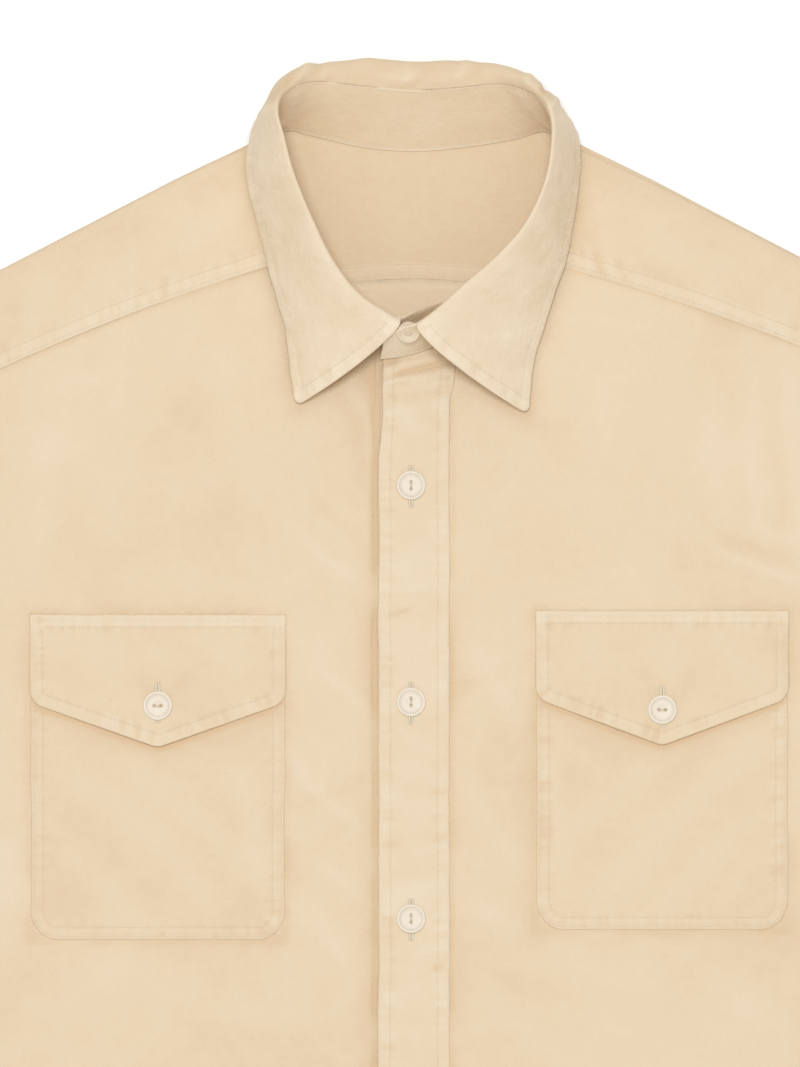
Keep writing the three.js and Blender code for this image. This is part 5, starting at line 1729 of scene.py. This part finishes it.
def slit_piece(sign, plan, count):
    """Pointed strip that binds the slit above the cuff."""
    side = SIDES[sign]
    tip = np.array(SHOULDER_TIP) + SLEEVE_OFF[0]
    outer = bezier(tip, *SLEEVE_OUTER, SLEEVE_OUTER_END, np.linspace(0, 1, 300))
    share = SLIT_LENGTH / np.linalg.norm(np.diff(outer, axis=0), axis=1).sum()
    half = SLIT_WIDTH / 2 / CUFF_WIDTH
    down = (places(SLIT_LENGTH, 1.6) / SLIT_LENGTH)[:, None]
    across = places(SLIT_WIDTH, 1.2)[None] / SLIT_WIDTH
    us = mix(0.996, 1 - share, down)
    narrow = 1 - 0.96 * smooth(1 - SLIT_POINT / SLIT_LENGTH, 1, down)
    w = SLIT_ACROSS + (across - 0.5) * 2 * half * narrow
    around = np.linspace(0.2, 0.6, 81)
    wide_plan = plan(around)
    flat = np.empty(w.shape + (2,))
    for i, place in enumerate(us[:, 0] * (count - 1)):
        a = min(int(place), count - 2)
        line = mix(wide_plan[a], wide_plan[a + 1], place - a)
        for k in range(2):
            flat[i, :, k] = np.interp(w[i], around, line[:, k])
    x, y = flat[..., 0], flat[..., 1]
    below = SLEEVE_HEIGHT - 0.05 + sleeve_relief(us, w, x, y)
    edge = np.minimum(np.minimum(across, 1 - across) * SLIT_WIDTH * narrow, (1 - down) * SLIT_LENGTH)
    run = down * SLIT_LENGTH + 0 * w
    relief = sewn(edge, run, 140, row=EDGESTITCH, depth=0.12, pucker=0.1, swell=0.1, reach=4)
    z = below + 1.0 + relief - turned(edge, PATCH_THICK)
    top = np.dstack([sign * x, y, z])
    under = np.dstack([sign * x, y, np.minimum(below + 0.02, z - 0.1)])
    tone = 0.3 * (1 - smooth(2, 4, edge)) + seam_wear_and_painted_shade(relief)
    piece = shell(f"sleeve_slit_{side}_cloth", top, under, flat, tone, SHIRTING, every=3)
    settle(piece, f"sleeve_slit_{side}")


def cuff_point(sign, across, along, z):
    """Place on a cuff, from its middle: across the sleeve, along it and up."""
    x = CUFF_MIDDLE[0] + CUFF_ACROSS[0] * across + CUFF_ACROSS[1] * along
    y = CUFF_MIDDLE[1] + CUFF_ACROSS[1] * across - CUFF_ACROSS[0] * along
    return np.stack(np.broadcast_arrays(sign * x, y, z), axis=-1).astype(float)


def cuff_section(half):
    """Section of the wrapped cuff, across and up: from its lower end all round to its lapped end."""
    middle = (CUFF_LOW + CUFF_MID) / 2
    return np.array([
        (CUFF_START, CUFF_MID),
        (0, CUFF_MID),
        (-half / 2, CUFF_MID),
        (-half + 4, CUFF_MID),
        (-half + 1, CUFF_MID - 0.4),
        (-half, middle),
        (-half + 1, CUFF_LOW + 0.4),
        (-half + 4, CUFF_LOW),
        (0, CUFF_LOW),
        (half - 4, CUFF_LOW),
        (half - 1, CUFF_LOW + 0.4),
        (half, middle),
        (half - 1, CUFF_MID - 0.4),
        (half - 4, CUFF_MID),
        (half - 10, CUFF_MID + 0.3),
        (CUFF_START + 3, CUFF_HIGH),
        (CUFF_START / 2, CUFF_HIGH),
        (CUFF_FINISH, CUFF_HIGH),
    ])


def cuff_piece(sign):
    """Cuff: a band wrapped once round, its upper end lapped over the lower one."""
    side = SIDES[sign]
    half = CUFF_WIDTH / 2 - 1
    section = cuff_section(half)
    start = run_of(section)
    total = start[-1]
    round_it = places(total, 1.6)
    across = np.interp(round_it, start, section[:, 0])
    z = np.interp(round_it, start, section[:, 1])
    along = places(CUFF_DEPTH, 1.5)
    grid = np.stack([cuff_point(sign, a, CUFF_GAP + along, h) for a, h in zip(across, z)])
    normal = grid_normals(grid)
    if normal[-12, 20, 2] < 0:
        normal = -normal
    zero = 0 * grid[..., 0]
    first, last = round_it[:, None] + zero, (total - round_it)[:, None] + zero
    near, deep = along[None] + zero, CUFF_DEPTH - along[None] + zero
    ends, sides = np.minimum(first, last), np.minimum(near, deep)
    edge = np.minimum(ends, sides)
    seam = sewn(edge, np.where(edge == sides, first, near), 150, pucker=0.2, reach=4)
    relief = seam + 0.2 * mounds(first, near, 18, 151)
    off = BAND / 2 - 0.1 - turned(edge, 0.6, 0.8)
    outer = grid + normal * (off + 0.6 * relief)[..., None]
    inner = grid - normal * (off - 0.1)[..., None]
    outer[..., 2] = np.maximum(outer[..., 2], 0)
    tone = 0.3 * (1 - smooth(5.2, 7, edge)) + seam_wear_and_painted_shade(seam)
    piece = shell(f"cuff_{side}_cloth", outer, inner, np.dstack([first, near]), tone, SHIRTING, every=2)
    settle(piece, f"cuff_{side}", slot="doubled")
    rows = Sewing(f"cuff_{side}_stitches")
    lapped = (last > TOPSTITCH) & (first > total * 0.62)
    below_lap = (first > CUFF_START) & (first < CUFF_START + half - 3)
    for field in (near, deep):
        for part in (lapped, below_lap):
            rows.row_round(outer, grid, field, TOPSTITCH, 1, part)
    rows.row_round(outer[::-1], grid[::-1], last[::-1], TOPSTITCH, 0, (sides > TOPSTITCH)[::-1])
    hole = cuff_point(sign, CUFF_BUTTON, CUFF_DEPTH / 2, CUFF_HIGH)
    direction = cuff_point(sign, 1, 0, 0) - cuff_point(sign, 0, 0, 0)
    rows.buttonhole(hole, direction, 17, lambda x, y: np.full(np.shape(x), CUFF_HIGH + BAND / 2 - 0.1))
    rows.finish()


# Buttons


def inset(thickness, rise):
    """Insets the selected face by a distance in millimetres, and raises or sinks it."""
    bpy.ops.mesh.inset(thickness=thickness * MM)
    bpy.ops.transform.translate(value=(0, 0, rise * MM))


def chosen(piece):
    nothing_selected()
    piece.select_set(True)
    bpy.context.view_layer.objects.active = piece


def button_shape(radius, height, rim, dish, hole, pitch):
    """Two-hole button with a rounded rim and a dished middle, made once at the origin."""
    nothing_selected()
    bpy.ops.mesh.primitive_cylinder_add(
        vertices=64, radius=radius * MM, depth=height * MM, location=(0, 0, height * MM / 2)
    )
    disc = bpy.context.object
    bpy.ops.object.mode_set(mode="EDIT")
    bpy.ops.mesh.select_mode(type="FACE")
    bpy.ops.mesh.select_all(action="DESELECT")
    bpy.ops.object.mode_set(mode="OBJECT")
    for face in disc.data.polygons:
        face.select = face.normal.z > 0.9
    bpy.ops.object.mode_set(mode="EDIT")
    bpy.ops.mesh.inset(thickness=rim * MM)
    inset(0.5, -dish * 0.75)
    inset(1.0, -dish * 0.25)
    for groove in (-0.09, 0.09, -0.09):
        inset(0.55, groove)
    bpy.ops.mesh.select_all(action="DESELECT")
    bpy.ops.object.mode_set(mode="OBJECT")
    bevel = disc.modifiers.new("rounded", "BEVEL")
    bevel.width = 0.42 * MM
    bevel.segments = 3
    bevel.limit_method = "ANGLE"
    bevel.angle_limit = math.radians(35)
    bpy.ops.object.modifier_apply(modifier="rounded")
    for side in (-1, 1):
        nothing_selected()
        bpy.ops.mesh.primitive_cylinder_add(
            vertices=20, radius=hole * MM, depth=4 * height * MM, location=(side * pitch / 2 * MM, 0, 0)
        )
        drill = bpy.context.object
        chosen(disc)
        cut = disc.modifiers.new("drilled", "BOOLEAN")
        cut.operation = "DIFFERENCE"
        cut.object = drill
        bpy.ops.object.modifier_apply(modifier="drilled")
        bpy.data.objects.remove(drill)
    chosen(disc)
    bpy.ops.object.shade_smooth_by_angle(angle=math.radians(32))
    return disc


def put_button(pattern, size, node, where, facing, turn, finish=SHELL):
    """Copy of a button at its place, with the thread through its holes."""
    made = pattern.copy()
    made.data = pattern.data.copy()
    made.name = f"{node}_shell"
    bpy.context.scene.collection.objects.link(made)
    tilt = Vector(UP).rotation_difference(Vector(facing).normalized()) @ Quaternion(UP, turn)
    made.rotation_mode = "QUATERNION"
    made.rotation_quaternion = tilt
    made.location = Vector(where) * MM
    chosen(made)
    bpy.ops.object.transform_apply(location=True, rotation=True, scale=True)
    made.data.materials.clear()
    made.data.materials.append(finish)
    settle(made, node, slot="button")
    threads = Sewing(f"{made.name}_thread")
    along, across, normal = np.array(tilt.to_matrix()).T
    where = np.array(where, float)
    over_holes = where + normal * (size["height"] - size["dish"] + 0.12)
    for off in (-0.42, 0, 0.42):
        spot = over_holes + across * off
        threads.place(spot[None], along[None], normal[None], size["pitch"] - 0.5, 0.42, 0.4)
    for side in (-1, 1):
        spot = where + along * side * size["pitch"] / 2 + normal * 0.7
        threads.place(spot[None], normal[None], along[None], 2.4, 0.9, 0.9)
    threads.finish()


def collar_button(pattern):
    """Button of the stand's upper end, tilted with the stand but turned a little towards the viewer."""
    neck, top, _ = collar_section(COLLAR_BUTTON_ROW)
    climb = unit(top[0] - neck[0])
    facing = np.cross(climb, (1.0, 0, 0))
    facing = unit(facing * np.sign(facing[2]))
    where = mix(neck[0], top[0], COLLAR_BUTTON_UP) + facing * (BAND / 2 + 0.2) + np.array((-1.2, 0.9, 0))
    # The darker shell is painted shade.
    put_button(pattern, SMALL, "collar_button", where, unit(facing + 0.9 * UP), 0.0, SHADED_SHELL)


# The shirt

back_piece()
yoke_piece()
front_panel(-1)
front_panel(1)
band_surface = band_piece()
stand_piece()
leaf_piece()
big_button = button_shape(**BUTTON)
small_button = button_shape(**SMALL)

for side, row in POCKETS.items():
    pocket_piece(side)
    surface = flap_piece(side)
    z = float(surface(row["x"], row["button"])[0]) + BUTTON_OFF
    where = (row["x"], row["button"], z)
    put_button(big_button, BUTTON, f"pocket_button_{side}", where, (0, 0.02, 1), 0.0)

for i, y in enumerate(BAND_BUTTONS_Y):
    z = float(band_surface(BUTTON_X, y)[0]) + BUTTON_OFF
    put_button(big_button, BUTTON, f"front_button_{i + 1}", (BUTTON_X, y, z), (0.02, 0.02, 1), math.pi / 2)

for sign in SIDES:
    sleeve_piece(sign)
    cuff_piece(sign)
    where = cuff_point(sign, CUFF_BUTTON, CUFF_DEPTH / 2, CUFF_HIGH + BAND / 2 + GAP)
    put_button(small_button, SMALL, f"cuff_button_{SIDES[sign]}", where, (0, 0, 1), sign * 0.7)

collar_button(small_button)
for pattern in (big_button, small_button):
    bpy.data.objects.remove(pattern)


# Floor, light and camera


def soft_light(name, location, target, size, power, colour):
    lamp = bpy.data.lights.new(name, "AREA")
    lamp.shape = "DISK"
    lamp.size = size
    lamp.energy = power
    lamp.color = colour
    holder = bpy.data.objects.new(name, lamp)
    scene.collection.objects.link(holder)
    holder.location = location
    holder.rotation_euler = (Vector(target) - Vector(location)).to_track_quat("-Z", "Y").to_euler()


nothing_selected()
bpy.ops.mesh.primitive_plane_add(size=12, location=(0, 0, -0.0003))
floor = bpy.context.object
floor.name = "floor"
paper = {"Base Color": (0.985, 0.985, 0.985, 1), "Roughness": 0.9, "Specular IOR Level": 0.1}
floor.data.materials.append(Finish("studio_floor").shaded(paper))

scene = bpy.context.scene
scene.view_settings.view_transform = "Standard"
world = bpy.data.worlds.new("studio")
scene.world = world
world.use_nodes = True
world.node_tree.nodes["Background"].inputs["Color"].default_value = (1, 0.935, 0.845, 1)
world.node_tree.nodes["Background"].inputs["Strength"].default_value = 0.54
soft_light("key_light", (-0.2, 0.85, 4.6), (0, 0.1, 0), 1.5, 136, (0.87, 0.93, 1))
soft_light("fill_light", (0.1, -3.0, 2.3), (0, 0.2, 0), 2.2, 13, (1, 0.96, 0.92))

camera_data = bpy.data.cameras.new("camera")
camera_data.sensor_width = SENSOR
camera_data.lens = SENSOR * CAMERA_HEIGHT / (PHOTO_HEIGHT * PIXEL * MM)
camera_data.clip_start, camera_data.clip_end = 0.1, 100
camera = bpy.data.objects.new("camera", camera_data)
scene.collection.objects.link(camera)
centre_x = (PHOTO_WIDTH / 2 - PHOTO_ORIGIN[0]) * PIXEL
centre_y = (PHOTO_ORIGIN[1] - PHOTO_HEIGHT / 2) * PIXEL
camera.location = (centre_x * MM, centre_y * MM, CAMERA_HEIGHT)
scene.camera = camera
